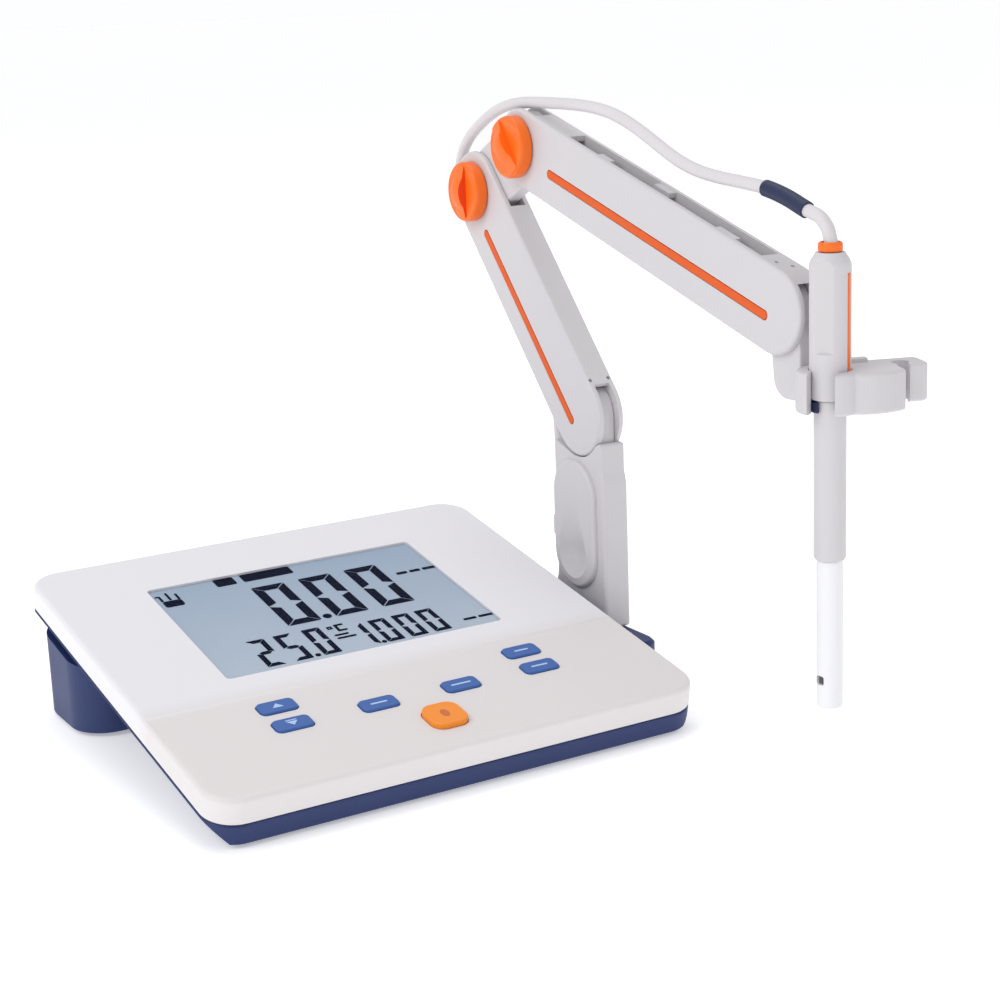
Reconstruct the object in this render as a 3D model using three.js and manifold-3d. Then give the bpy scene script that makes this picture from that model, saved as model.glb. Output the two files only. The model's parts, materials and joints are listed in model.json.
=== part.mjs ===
// Bench meter for liquid measurements, with a swing arm that holds one electrode.
// Millimetres, +Z up. The work frame has X = 0 on the case's centre line, Y = 0 at the
// front edge of its top face and Z = 0 on the bench. The exported group is shifted so
// that its origin is the centre of the footprint.

import * as THREE from 'three';
import { mergeVertices } from 'three/addons/utils/BufferGeometryUtils.js';
import Module from 'manifold-3d';

const wasm = await Module();
wasm.setup();

// ---------------------------------------------------------------- driving sizes

const GAP = 0.3;                       // clearance between touching pieces
const FOOTPRINT_CENTRE = [29.7, 70.3];  // work-frame X, Y of the exported origin

const CASE = {
  width: 210, length: 202.2, slope: 10.5, frontTop: 19.5,
  coverDepth: 10.5, baseDepth: 19, baseTaper: 7.5, corner: 13, wall: 2.5, edge: 2,
};
const LEG = { front: 138, back: 190, corner: 16, floor: 1.2 };
const PANEL_X = -1.5;                  // keys and display share this centre line
const DISPLAY = { width: 124, length: 85.4, s: 125.7, depth: 1.1 };
const KEY = { width: 15.5, length: 8.5, corner: 2.4, proud: 1.0 };
const KEYS = {
  key_up: [-54.3, 54.5], key_down: [-54.3, 40.3], key_set: [-18.1, 40.3],
  key_measure: [18.1, 40.3], key_calibrate: [54.3, 54.5], key_cancel: [54.3, 40.3],
};
const POWER = { width: 15.5, length: 16, corner: 5, s: 20.8, proud: 2.2 };

const ARM = { x: 126, y: 111, thick: 13, slot: 7.8, tongue: 7.2 };
const SHOULDER = new THREE.Vector2(0, 109);
const ELBOW_LOW = new THREE.Vector2(-82.5, 201.5);
const ELBOW_HIGH = new THREE.Vector2(-42, 223.5);
const HEAD = new THREE.Vector2(137, 170.5);
const LOWER_HALF = 18;                 // half widths of the two arms
const UPPER_HALF = 16.5;
const LINK_HALF = 15;
const PIN_R = 3;
const STRIPE = { width: 3.8, depth: 1.0 };
const SHOULDER_LOWEST = 30;            // degrees that the lower arm leans back from rest

const POST = { half: 18, sleeveHalf: 19.5, foot: 15.3, sleeveTop: 86, sleeveEnd: 80 };
const BRACKET = { left: 105.4, right: 132, front: 68, back: 150, top: 15, screw: 84 };
const KNOB = { radius: 13.6, thick: 6.2, ridgeWidth: 7, ridgeHeight: 4.2 };

const ELECTRODE = {
  reach: 163, bodyR: 7.65, capR: 4.5, tubeR: 6, guardR: 5,
  capTop: 198.1, capFoot: 194.7, bodyFoot: 140.5, tubeFoot: 78.5, tip: 21.5,
};
const CLIP = { bottom: 136, top: 151.5, inner: 8, outer: 12.6, turn: -20, mouthTurn: -37 };

const CABLE_R = 2.5;
const CABLE_BACK = -24.5;               // where the cable runs down behind the post
const COIL = { x: 90, y: 270, radius: 28, width: 10.6, height: 10.4 };
const PLUG = { x: 62, z: 20 };

// ---------------------------------------------------------------- materials

// Case screws [x, y]; rear panel; x of each socket on the panel.
const SCREWS = [[-86, 152], [86, 152], [-86, 176], [86, 176]];
const REAR = { x: 0, z: 18, width: 150, height: 24, thick: 2.2 };
const SOCKETS = { measuring_socket: 62, temperature_socket: 28, data_port: -22, dc_inlet: -56 };
// Orange inlays along the arms, and the printed stripe up the electrode's handle.
const LOWER_STRIPE = { x: -5, from: 1, to: 103 };
const UPPER_STRIPE = { x: 3, from: 28, to: 183 };
const BODY_STRIPE = [151, 187];
const BODY_STRIPE_TURN = 21.5;

const COLOURS = {
  white_plastic: ['#e9e8ec', 0.45, 0], blue_plastic: ['#22386f', 0.5, 0],
  key_blue: ['#3c64af', 0.5, 0], orange_plastic: ['#f36410', 0.45, 0],
  grey_plastic: ['#d2d0d4', 0.5, 0], display_glass: ['#acbecc', 0.15, 0],
  display_frame: ['#c9ccd0', 0.5, 0.2], circuit_board: ['#1f5a38', 0.6, 0],
  black_rubber: ['#1c1c1e', 0.9, 0], silicone: ['#8f9296', 0.8, 0],
  steel: ['#b8babd', 0.3, 1], black_plastic: ['#202225', 0.5, 0],
  navy_plastic: ['#10182f', 0.5, 0], cable_grey: ['#d2cdd2', 0.6, 0],
  platinum: ['#6f7276', 0.5, 1],
};

function material(slot) {
  const [color, roughness, metalness] = COLOURS[slot];
  return new THREE.MeshStandardMaterial({ color, roughness, metalness, name: slot });
}

// ---------------------------------------------------------------- solid helpers

function solid(geometry) {
  const bare = geometry.index ? geometry.toNonIndexed() : geometry.clone();
  bare.deleteAttribute('normal');
  bare.deleteAttribute('uv');
  const merged = mergeVertices(bare, 1e-4);
  return new wasm.Manifold(new wasm.Mesh({
    numProp: 3,
    vertProperties: new Float32Array(merged.attributes.position.array),
    triVerts: new Uint32Array(merged.index.array),
  }));
}

function shell(body) {
  const mesh = body.getMesh();
  const geometry = new THREE.BufferGeometry();
  geometry.setAttribute('position', new THREE.BufferAttribute(mesh.vertProperties, 3));
  geometry.setIndex(new THREE.BufferAttribute(mesh.triVerts, 1));
  geometry.computeVertexNormals();
  return geometry;
}

function cut(body, ...tools) {
  return tools.reduce((rest, tool) => rest.subtract(tool), body);
}

function join(body, ...others) {
  return others.reduce((sum, other) => sum.add(other), body);
}

function box(x0, x1, y0, y1, z0, z1) {
  const geometry = new THREE.BoxGeometry(x1 - x0, y1 - y0, z1 - z0);
  geometry.translate((x0 + x1) / 2, (y0 + y1) / 2, (z0 + z1) / 2);
  return solid(geometry);
}

// A plan outline pushed along its own normal from z0 to z1.
function prism(shape, z0, z1, curveSegments = 3) {
  const geometry = new THREE.ExtrudeGeometry(shape, {
    depth: z1 - z0, bevelEnabled: false, curveSegments,
  });
  geometry.translate(0, 0, z0);
  return solid(geometry);
}

// A prism with both rims rounded over.
function softPrism(shape, z0, z1, round, curveSegments = 3, bevelSegments = 1) {
  const geometry = new THREE.ExtrudeGeometry(shape, {
    depth: z1 - z0 - 2 * round, bevelEnabled: true, bevelThickness: round,
    bevelSize: round, bevelOffset: -round, bevelSegments, curveSegments,
  });
  geometry.translate(0, 0, z0 + round);
  return solid(geometry);
}

// A turned solid about the local Z axis: profile rows are [radius, z].
function turned(profile, sides = 20) {
  const points = profile.map(([r, z]) => new THREE.Vector2(r, z));
  const geometry = new THREE.LatheGeometry(points, sides);
  geometry.rotateX(Math.PI / 2);
  return solid(geometry);
}

function disc(radius, z0, z1, sides = 24) {
  return turned([[0, z0], [radius, z0], [radius, z1], [0, z1]], sides);
}

function roundedRect(x0, x1, y0, y1, r) {
  const shape = new THREE.Shape();
  shape.absarc(x1 - r, y1 - r, r, 0, Math.PI / 2);
  shape.absarc(x0 + r, y1 - r, r, Math.PI / 2, Math.PI);
  shape.absarc(x0 + r, y0 + r, r, Math.PI, Math.PI * 1.5);
  shape.absarc(x1 - r, y0 + r, r, Math.PI * 1.5, Math.PI * 2);
  return shape;
}

// Round-ended bar outline along +Y, from (0, 0) to (0, length).
function stadium(length, r) {
  const shape = new THREE.Shape();
  shape.absarc(0, length, r, 0, Math.PI);
  shape.absarc(0, 0, r, Math.PI, Math.PI * 2);
  return shape;
}

function place(body, matrix) {
  return body.transform(matrix.toArray());
}

const root = new THREE.Group();
const workFrame = new THREE.Group();
workFrame.position.set(-FOOTPRINT_CENTRE[0], -FOOTPRINT_CENTRE[1], 0);
root.add(workFrame);

function add(parent, name, slot, body) {
  const mesh = new THREE.Mesh(shell(body), material(slot));
  mesh.name = name;
  parent.add(mesh);
  return mesh;
}

// ---------------------------------------------------------------- frames

// deck: x across, y up the sloping top face from its front edge, z along its normal.
const deck = new THREE.Group();
deck.position.set(0, 0, CASE.frontTop);
deck.rotation.x = THREE.MathUtils.degToRad(CASE.slope);
workFrame.add(deck);
deck.updateMatrix();
const deckToWork = deck.matrix.clone();

// armPlane: x forward from the post, y up, z towards the side that carries the knobs.
const armPlane = new THREE.Group();
armPlane.quaternion.setFromRotationMatrix(new THREE.Matrix4().makeBasis(
  new THREE.Vector3(0, -1, 0), new THREE.Vector3(0, 0, 1), new THREE.Vector3(-1, 0, 0),
));
armPlane.position.set(ARM.x, ARM.y, 0);
workFrame.add(armPlane);

// A frame in the arm plane whose y axis runs from one pivot to the next.
function barFrame(from, to) {
  const frame = new THREE.Group();
  frame.position.set(from.x, from.y, 0);
  frame.rotation.z = Math.atan2(to.y - from.y, to.x - from.x) - Math.PI / 2;
  armPlane.add(frame);
  frame.updateMatrix();
  return frame;
}

// Upright frame standing at a point of the arm plane, not turned.
function uprightFrame(forward, turn = 0) {
  const frame = new THREE.Group();
  frame.position.set(ARM.x, ARM.y - forward, 0);
  frame.rotation.z = THREE.MathUtils.degToRad(turn);
  workFrame.add(frame);
  return frame;
}

// ---------------------------------------------------------------- case

const caseOutline = (inset) => roundedRect(
  -CASE.width / 2 + inset, CASE.width / 2 - inset, inset, CASE.length - inset,
  CASE.corner - inset * 0.8,
);

function keyOutline(grow) {
  return roundedRect(
    -KEY.width / 2 - grow, KEY.width / 2 + grow, -KEY.length / 2 - grow,
    KEY.length / 2 + grow, KEY.corner + grow,
  );
}

function powerOutline(grow) {
  return roundedRect(
    -POWER.width / 2 - grow, POWER.width / 2 + grow, -POWER.length / 2 - grow,
    POWER.length / 2 + grow, POWER.corner + grow,
  );
}

function displayOutline(grow) {
  return roundedRect(
    PANEL_X - DISPLAY.width / 2 - grow, PANEL_X + DISPLAY.width / 2 + grow,
    DISPLAY.s - DISPLAY.length / 2 - grow, DISPLAY.s + DISPLAY.length / 2 + grow, 2,
  );
}

function topCover() {
  const blank = softPrism(caseOutline(0), -CASE.coverDepth - 6, 0, CASE.edge, 4, 3);
  const below = box(-120, 120, -20, 220, -CASE.coverDepth - 10, -CASE.coverDepth);
  const hollow = prism(caseOutline(CASE.wall), -CASE.coverDepth - 1, -CASE.wall);
  const window = prism(displayOutline(GAP), -CASE.wall - 1, 1);
  const holes = Object.values(KEYS).map(([x, s]) => (
    prism(keyOutline(GAP), -CASE.wall - 1, 1, 1).translate([PANEL_X + x, s, 0])
  ));
  const powerHole = prism(powerOutline(GAP), -CASE.wall - 1, 1, 2)
    .translate([PANEL_X, POWER.s, 0]);
  return cut(blank, below, hollow, window, powerHole, ...holes);
}

// Cross-section of the tray, pushed from front to back: its long sides slope in below the seam.
function trayWedge(inset) {
  const side = CASE.width / 2 - inset;
  const low = -CASE.baseDepth + inset;
  const shape = new THREE.Shape();
  shape.moveTo(-side + CASE.baseTaper, low);
  shape.lineTo(side - CASE.baseTaper, low);
  shape.lineTo(side, low + CASE.baseTaper);
  shape.lineTo(side, 40);
  shape.lineTo(-side, 40);
  shape.lineTo(-side, low + CASE.baseTaper);
  return prism(shape, -250, 50).rotate([90, 0, 0]);
}

function bottomCase() {
  const top = -CASE.coverDepth - GAP;
  const tray = place(
    prism(caseOutline(0), -CASE.baseDepth, top).intersect(trayWedge(0)), deckToWork,
  );
  const legOutline = roundedRect(
    -CASE.width / 2, CASE.width / 2, LEG.front, LEG.back, LEG.corner,
  );
  const aboveLeg = place(box(-120, 120, -30, 240, top - 1, 80), deckToWork);
  const leg = cut(prism(legOutline, LEG.floor, 60), aboveLeg);
  const trayHollow = place(
    prism(caseOutline(CASE.wall), -CASE.baseDepth + CASE.wall, 5).intersect(
      trayWedge(CASE.wall),
    ),
    deckToWork,
  );
  const legHollow = prism(roundedRect(
    -CASE.width / 2 + CASE.wall, CASE.width / 2 - CASE.wall, LEG.front + CASE.wall,
    LEG.back - CASE.wall, LEG.corner - CASE.wall,
  ), LEG.floor + CASE.wall, 60);
  const panelHole = box(
    REAR.x - REAR.width / 2, REAR.x + REAR.width / 2, LEG.back - CASE.wall - 1,
    LEG.back + 1, REAR.z - REAR.height / 2, REAR.z + REAR.height / 2,
  );
  const bosses = SCREWS.map(([x, y]) => disc(4.5, LEG.floor + 1, 14, 12).translate([x, y, 0]));
  const bores = SCREWS.map(([x, y]) => join(
    disc(1.8, -5, 16, 12), disc(3.4, -5, 3.9, 12),
  ).translate([x, y, 0]));
  const bracketBoss = disc(5, 18, 27.5, 12).translate([BRACKET.screw, ARM.y, 0]);
  const bracketBore = disc(2.3, 15, 30, 12).translate([BRACKET.screw, ARM.y, 0]);
  const trayUnder = place(box(-120, 120, -30, 240, -60, -CASE.baseDepth + 1), deckToWork);
  const hollowed = cut(join(tray, leg), trayHollow, legHollow, panelHole);
  const bossed = join(hollowed, ...bosses, cut(bracketBoss, trayUnder));
  return cut(bossed, ...bores, bracketBore);
}

function caseScrew() {
  return turned([
    [0, 2.0], [3, 2.0], [3, 3.2], [1.5, 3.6], [1.5, 12.5], [0, 13.5],
  ], 12);
}

function rearPanel() {
  const y1 = LEG.back - 0.2;
  const plate = box(
    REAR.x - REAR.width / 2 + GAP, REAR.x + REAR.width / 2 - GAP, y1 - REAR.thick, y1,
    REAR.z - REAR.height / 2 + GAP, REAR.z + REAR.height / 2 - GAP,
  );
  const round = (x, r) => along(disc(r, -10, 10, 20), x, LEG.back, PLUG.z);
  return cut(
    plate, round(SOCKETS.measuring_socket, 5.1), round(SOCKETS.temperature_socket, 4.4),
    round(SOCKETS.dc_inlet, 5.8),
    box(SOCKETS.data_port - 6.3, SOCKETS.data_port + 6.3, 180, 200, PLUG.z - 5.8, PLUG.z + 5.8),
  );
}

// Turns a solid made about Z to lie about +Y, and moves it.
function along(body, x, y, z) {
  return body.rotate([-90, 0, 0]).translate([x, y, z]);
}

function measuringSocket() {
  const barrel = turned([
    [0, -12], [4.8, -12], [4.8, 9.5], [3.9, 9.5], [3.9, 1], [1.3, 1], [1.3, 7], [0, 7],
  ], 20);
  const flange = turned([[4.5, 0.2], [7, 0.2], [7, 2], [4.5, 2], [4.5, 0.2]], 6);
  const bayonet = box(-5.9, 5.9, -1, 1, 5.5, 7.5).subtract(disc(4.3, 0, 10, 20));
  return along(join(barrel, flange, bayonet), SOCKETS.measuring_socket, LEG.back, PLUG.z);
}

function temperatureSocket() {
  const barrel = turned([
    [0, -10], [4.1, -10], [4.1, 0.2], [6, 0.2], [6, 1.4], [4.1, 1.4], [4.1, 6.5], [1.7, 6.5],
    [1.7, -4], [0, -4],
  ], 20);
  return along(barrel, SOCKETS.temperature_socket, LEG.back, PLUG.z);
}

function dcInlet() {
  const barrel = turned([
    [0, -11], [5.4, -11], [5.4, 0.6], [3.2, 0.6], [3.2, -8], [1, -8], [1, -0.6], [0, -0.6],
  ], 20);
  return along(barrel, SOCKETS.dc_inlet, LEG.back, PLUG.z);
}

function dataPort() {
  const x = SOCKETS.data_port;
  const z = PLUG.z;
  const housing = box(x - 6, x + 6, 176, LEG.back + 0.6, z - 5.5, z + 5.5);
  const mouth = box(x - 4.2, x + 4.2, 180, LEG.back + 2, z - 3.9, z + 3.9);
  const tongue = box(x - 2.8, x + 2.8, 179, LEG.back - 0.6, z - 1.6, z + 1.6);
  return join(cut(housing, mouth), tongue);
}

// Liquid crystal panel: a carrier below the cover and the glass cell up inside its opening.
function displayModule() {
  const carrier = prism(displayOutline(2.5), -7.2, -CASE.wall - GAP, 2);
  return join(carrier, prism(displayOutline(-0.1), -4, -DISPLAY.depth, 2));
}

function displayWindow() {
  return prism(displayOutline(0), -DISPLAY.depth + GAP, -0.15, 2);
}

function mainBoard() {
  const board = prism(roundedRect(-88, 88, 20, 186, 3), -9.6, -8.0, 2);
  const chips = box(-30, -14, 90, 106, -10.9, -9.5);
  const connector = box(20, 60, 172, 180, -12.6, -9.5);
  return join(board, chips, connector);
}

function keypadMat() {
  const sheet = prism(roundedRect(-68, 65, 9, 63, 4), -7.3, -5.9, 2);
  const spots = [...Object.values(KEYS), [0, POWER.s]];
  const domes = spots.map(([x, s]) => (
    turned([[0, -7], [4.2, -7], [4.2, -5.8], [2.4, -5.2], [0, -5.2]], 8)
      .translate([PANEL_X + x, s, 0])
  ));
  return join(sheet, ...domes);
}

// A key: a cap that stands through the cover, on a wider flange below it.
function keyCap(outline, flange, proud, segments) {
  const cap = softPrism(outline(0), -4, proud, 0.6, segments, 1);
  return join(cap, prism(flange, -4.2, -CASE.wall - GAP, segments));
}

function buildCase() {
  add(deck, 'top_cover', 'white_plastic', topCover());
  add(deck, 'display_window', 'display_glass', displayWindow());
  add(deck, 'display_module', 'display_frame', displayModule());
  add(deck, 'main_board', 'circuit_board', mainBoard());
  add(deck, 'keypad_mat', 'silicone', keypadMat());
  for (const [name, [x, s]] of Object.entries(KEYS)) {
    const key = add(deck, name, 'key_blue', keyCap(keyOutline, keyOutline(1.5), KEY.proud, 1));
    key.position.set(PANEL_X + x, s, 0);
  }
  const power = keyCap(powerOutline, powerOutline(1.5), POWER.proud, 2);
  add(deck, 'key_power', 'orange_plastic', power).position.set(PANEL_X, POWER.s, 0);
  add(workFrame, 'bottom_case', 'blue_plastic', bottomCase());
  SCREWS.forEach(([x, y], i) => {
    add(workFrame, `case_screw_${i + 1}`, 'steel', caseScrew()).position.set(x, y, 0);
  });
  buildFeet();
  add(workFrame, 'rear_panel', 'black_plastic', rearPanel());
  add(workFrame, 'measuring_socket', 'steel', measuringSocket());
  add(workFrame, 'temperature_socket', 'black_plastic', temperatureSocket());
  add(workFrame, 'data_port', 'steel', dataPort());
  add(workFrame, 'dc_inlet', 'black_plastic', dcInlet());
}

// Rubber feet: the front pair is cut to the slope of the tray above it.
function buildFeet() {
  const trayBelow = place(
    box(-120, 120, -30, 240, -CASE.baseDepth - GAP, 40), deckToWork,
  );
  const spots = {
    foot_front_left: [-88, 20, 6], foot_front_right: [88, 20, 6],
    foot_rear_left: [-70, 165, LEG.floor - GAP], foot_rear_right: [70, 165, LEG.floor - GAP],
  };
  for (const [name, [x, y, top]] of Object.entries(spots)) {
    const foot = disc(6.5, 0, top, 16).translate([x, y, 0]);
    add(workFrame, name, 'black_rubber', cut(foot, trayBelow));
  }
}

// ---------------------------------------------------------------- bracket and post

function armBracket() {
  const outline = roundedRect(BRACKET.left, BRACKET.right, BRACKET.front, BRACKET.back, 7);
  const block = softPrism(outline, LEG.floor, BRACKET.top, 1.5, 5, 1);
  const spindleHole = disc(5.3, 4, 20, 20).translate([ARM.x, ARM.y, 0]);
  const trayAbove = place(box(-130, 130, -30, 240, -CASE.baseDepth - GAP, 40), deckToWork);
  const wedge = join(
    cut(box(70, CASE.width / 2, 84, 134, LEG.floor, 40), trayAbove),
    box(100, BRACKET.left + 12, 84, 134, LEG.floor, BRACKET.top - 1),
  );
  const screwHole = join(disc(5.6, 0, 12, 16), disc(2.4, 0, 40, 16))
    .translate([BRACKET.screw, ARM.y, 0]);
  return cut(join(block, wedge), spindleHole, screwHole);
}

// Screw that holds the bracket's wedge to the tray above it.
function bracketScrew() {
  return turned([
    [0, 8.5], [5.2, 8.5], [5.2, 11.7], [2, 11.7], [2, 27], [0, 27],
  ], 16);
}

// Steel spindle on which the post turns: a stem in the bracket and one in the post.
function swivelSpindle() {
  return turned([[0, 4.4], [5, 4.4], [5, 13], [3.6, 15], [3.6, 34], [0, 34]], 20);
}

function barTool(angle, half) {
  const direction = Math.atan2(ELBOW_LOW.y - SHOULDER.y, ELBOW_LOW.x - SHOULDER.x);
  const turn = THREE.MathUtils.radToDeg(direction) - 90 + angle;
  return prism(stadium(120, half), -20, 20, 8).rotate([0, 0, turn])
    .translate([SHOULDER.x, SHOULDER.y, 0]);
}

// The post in arm-plane coordinates: sleeve, column and the tongue that the arm straddles.
function postColumn() {
  const h = ARM.thick / 2;
  const outline = new THREE.Shape();
  outline.moveTo(-POST.sleeveHalf, POST.foot);
  outline.lineTo(POST.sleeveHalf, POST.foot);
  outline.lineTo(POST.sleeveHalf, POST.sleeveEnd);
  outline.lineTo(POST.half, POST.sleeveTop);
  outline.lineTo(POST.half, SHOULDER.y - 10.5);
  outline.lineTo(8, SHOULDER.y - 10.5);
  outline.lineTo(-8, SHOULDER.y - 5);
  outline.lineTo(-POST.half, SHOULDER.y - 5);
  outline.lineTo(-POST.half, POST.sleeveTop);
  outline.lineTo(-POST.sleeveHalf, POST.sleeveEnd);
  outline.closePath();
  const sweeps = [-4, -2, 0].map((k) => barTool(-k * SHOULDER_LOWEST / 4, LOWER_HALF + 0.4));
  const cheeks = cut(softPrism(outline, -h, h, 1, 4, 1), ...sweeps, barTool(-7, LOWER_HALF + 0.4));
  const neck = new THREE.Shape();
  neck.absarc(SHOULDER.x, SHOULDER.y, LINK_HALF - 1, 0, Math.PI);
  neck.lineTo(-LINK_HALF + 1, 80);
  neck.lineTo(LINK_HALF - 1, 80);
  const tongue = prism(neck, -ARM.tongue / 2, ARM.tongue / 2, 6);
  const pad = new THREE.Shape();
  pad.absarc(-2, 73, 16, 0, Math.PI);
  pad.absarc(-2, 47, 16, Math.PI, Math.PI * 2);
  const boss = softPrism(pad, h - 2, h + 2.4, 1.2, 5, 1);
  const scoop = turned([[0, -16], [9, -13], [13, -6], [14, 0], [13, 6], [9, 13], [0, 16]], 14)
    .rotate([90, 0, 90]).translate([-2, 46, h + 11.5]);
  const spindle = disc(3.9, 0, 35, 16).rotate([-90, 0, 0]);
  const pin = disc(PIN_R + GAP, -10, 10, 16).translate([SHOULDER.x, SHOULDER.y, 0]);
  return cut(join(cheeks, tongue, cut(boss, scoop), cableLug()), spindle, pin);
}

// Clip on the back of the post that holds the cable against it, open to the rear.
function cableLug() {
  const hook = disc(CABLE_R + GAP + 1.3, -4, 4, 16);
  const groove = disc(CABLE_R + GAP, -5, 5, 16);
  const upright = cut(hook, groove).rotate([90, 0, 0]).translate([CABLE_BACK, 54, 0]);
  const stem = box(CABLE_BACK + CABLE_R + 0.8, -POST.sleeveHalf + 1, 50, 58, -1.5, 1.5);
  const mouth = box(CABLE_BACK - 8, CABLE_BACK, 49, 59, -2, 2);
  return cut(join(upright, stem), mouth);
}

// Headed steel pin through a fork, along the arm plane's normal.
function forkPin(half) {
  return turned([
    [0, -half - 2], [4.6, -half - 2], [4.6, -half - GAP], [PIN_R, -half - GAP],
    [PIN_R, half - 1.2], [0, half - 1.2],
  ], 20);
}

function buildPost() {
  add(workFrame, 'arm_bracket', 'blue_plastic', armBracket());
  add(workFrame, 'bracket_screw', 'steel', bracketScrew())
    .position.set(BRACKET.screw, ARM.y, 0);
  add(workFrame, 'swivel_spindle', 'steel', swivelSpindle()).position.set(ARM.x, ARM.y, 0);
  add(armPlane, 'post_column', 'grey_plastic', postColumn());
  add(armPlane, 'shoulder_pin', 'steel', forkPin(ARM.thick / 2))
    .position.set(SHOULDER.x, SHOULDER.y, 0);
}

// ---------------------------------------------------------------- arms

// A forked channel bar along +Y: two side plates joined by a web on the +X edge.
function channelBar({ length, half, web, roofs, tabs, stripe, blindEnd }) {
  const h = ARM.thick / 2;
  const s = ARM.slot / 2;
  const skin = 2.4;
  const bar = softPrism(stadium(length, half), -h, h, 1, 8, 1);
  const keep = [box(half - skin, half + 5, web[0], web[1], -s - 1, s + 1)];
  for (const [y0, y1] of roofs) {
    keep.push(box(-half - 5, -half + skin, y0, y1, -s - 1, s + 1));
  }
  const slot = cut(box(-half - 5, half + 5, -half - 5, length + half + 5, -s, s), ...keep);
  const groove = prism(
    stadium(stripe.to - stripe.from, STRIPE.width / 2 + 0.15), h - STRIPE.depth - GAP, h + 1, 2,
  ).translate([stripe.x, stripe.from, 0]);
  const bores = [0, length].map((y) => (
    disc(PIN_R + GAP, -20, y === blindEnd ? h - 0.9 : 20, 16).translate([0, y, 0])
  ));
  const clips = tabs.map(([y0, y1, side]) => (
    side > 0
      ? box(-half + 0.6, -half + 2.6, y0, y1, 0.4, s + 0.6)
      : box(-half + 0.6, -half + 2.6, y0, y1, -s - 0.6, -0.4)
  ));
  return cut(join(cut(bar, slot, groove), ...clips), ...bores);
}

function stripeInlay({ x, from, to }) {
  const h = ARM.thick / 2;
  return prism(stadium(to - from, STRIPE.width / 2 - 0.15), h - STRIPE.depth, h + 0.2, 2)
    .translate([x, from, 0]);
}

function elbowLink(length) {
  const t = ARM.tongue / 2;
  const plate = softPrism(stadium(length, LINK_HALF), -t, t, 0.8, 6, 1);
  const bores = [0, length].map((y) => disc(PIN_R + GAP, -20, 20, 16).translate([0, y, 0]));
  return cut(plate, ...bores);
}

// Clamp knob on the arm's face: a thick disc with a grip ridge, hollow behind for the bolt.
function clampKnob(ridgeTurn) {
  const z = ARM.thick / 2 + GAP;
  const top = z + KNOB.thick;
  const dial = turned([
    [0, z], [KNOB.radius - 0.6, z], [KNOB.radius, z + 0.8], [KNOB.radius, top - 1.6],
    [KNOB.radius - 1.6, top], [0, top],
  ], 28);
  const dome = turned([
    [0, top - 1], [KNOB.radius - 1.6, top - 1], [KNOB.radius - 1.6, top + 0.4],
    [9.2, top + 2.4], [4.8, top + 3.8], [0, top + KNOB.ridgeHeight],
  ], 28);
  const across = KNOB.ridgeWidth / 2;
  const ridge = dome.intersect(box(-across, across, -20, 20, z, top + 10))
    .rotate([0, 0, ridgeTurn]);
  return cut(join(dial, ridge), disc(3.6, z - 1, z + 3, 16));
}

// Bolt that the knob pulls: a flat head on the far side and a shank that ends in the knob.
function elbowBolt() {
  const h = ARM.thick / 2;
  return turned([
    [0, -h - 2.4], [5.2, -h - 2.4], [5.2, -h - GAP], [PIN_R, -h - GAP],
    [PIN_R, h + 2.8], [0, h + 2.8],
  ], 20);
}

function buildArms() {
  const lower = barFrame(SHOULDER, ELBOW_LOW);
  const lowerLength = SHOULDER.distanceTo(ELBOW_LOW);
  add(lower, 'lower_arm', 'grey_plastic', channelBar({
    length: lowerLength, half: LOWER_HALF, web: [4, 101], roofs: [], blindEnd: 0,
    tabs: [[36, 44, 1], [56, 64, -1], [76, 84, 1]], stripe: LOWER_STRIPE,
  }));
  add(lower, 'lower_arm_stripe', 'orange_plastic', stripeInlay(LOWER_STRIPE));

  const link = barFrame(ELBOW_LOW, ELBOW_HIGH);
  add(link, 'elbow_link', 'grey_plastic', elbowLink(ELBOW_LOW.distanceTo(ELBOW_HIGH)));

  const upper = barFrame(ELBOW_HIGH, HEAD);
  const upperLength = ELBOW_HIGH.distanceTo(HEAD);
  add(upper, 'upper_arm', 'grey_plastic', channelBar({
    length: upperLength, half: UPPER_HALF, web: [24, upperLength - 22],
    blindEnd: upperLength,
    roofs: [[8, 36], [upperLength - 14, upperLength + 9]],
    tabs: [[57, 66, 1], [94, 105, -1], [141.5, 154.5, 1]], stripe: UPPER_STRIPE,
  }));
  add(upper, 'upper_arm_stripe', 'orange_plastic', stripeInlay(UPPER_STRIPE));

  const elbows = { lower: [ELBOW_LOW, 0], upper: [ELBOW_HIGH, 35] };
  for (const [name, [at, ridgeTurn]] of Object.entries(elbows)) {
    add(armPlane, `elbow_bolt_${name}`, 'steel', elbowBolt()).position.set(at.x, at.y, 0);
    add(armPlane, `clamp_knob_${name}`, 'orange_plastic', clampKnob(ridgeTurn))
      .position.set(at.x, at.y, 0);
  }
}

// ---------------------------------------------------------------- head and electrode

// Hanging link between the upper arm's fork and the electrode clip.
function headLink() {
  const t = ARM.tongue / 2;
  const outline = new THREE.Shape();
  outline.absarc(HEAD.x, HEAD.y, 12, -0.35, Math.PI);
  outline.lineTo(HEAD.x - 4, HEAD.y - 16);
  outline.lineTo(HEAD.x - 3, 145.5);
  outline.absarc(HEAD.x + 5, 145.5, 8, Math.PI, Math.PI * 1.5);
  outline.lineTo(ELECTRODE.reach - CLIP.outer - GAP, 137.5);
  outline.lineTo(ELECTRODE.reach - CLIP.outer - GAP, HEAD.y - 14);
  const plate = softPrism(outline, -t, t, 0.8, 5, 1);
  return cut(plate, disc(PIN_R + GAP, -20, 20, 16).translate([HEAD.x, HEAD.y, 0]));
}

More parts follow.
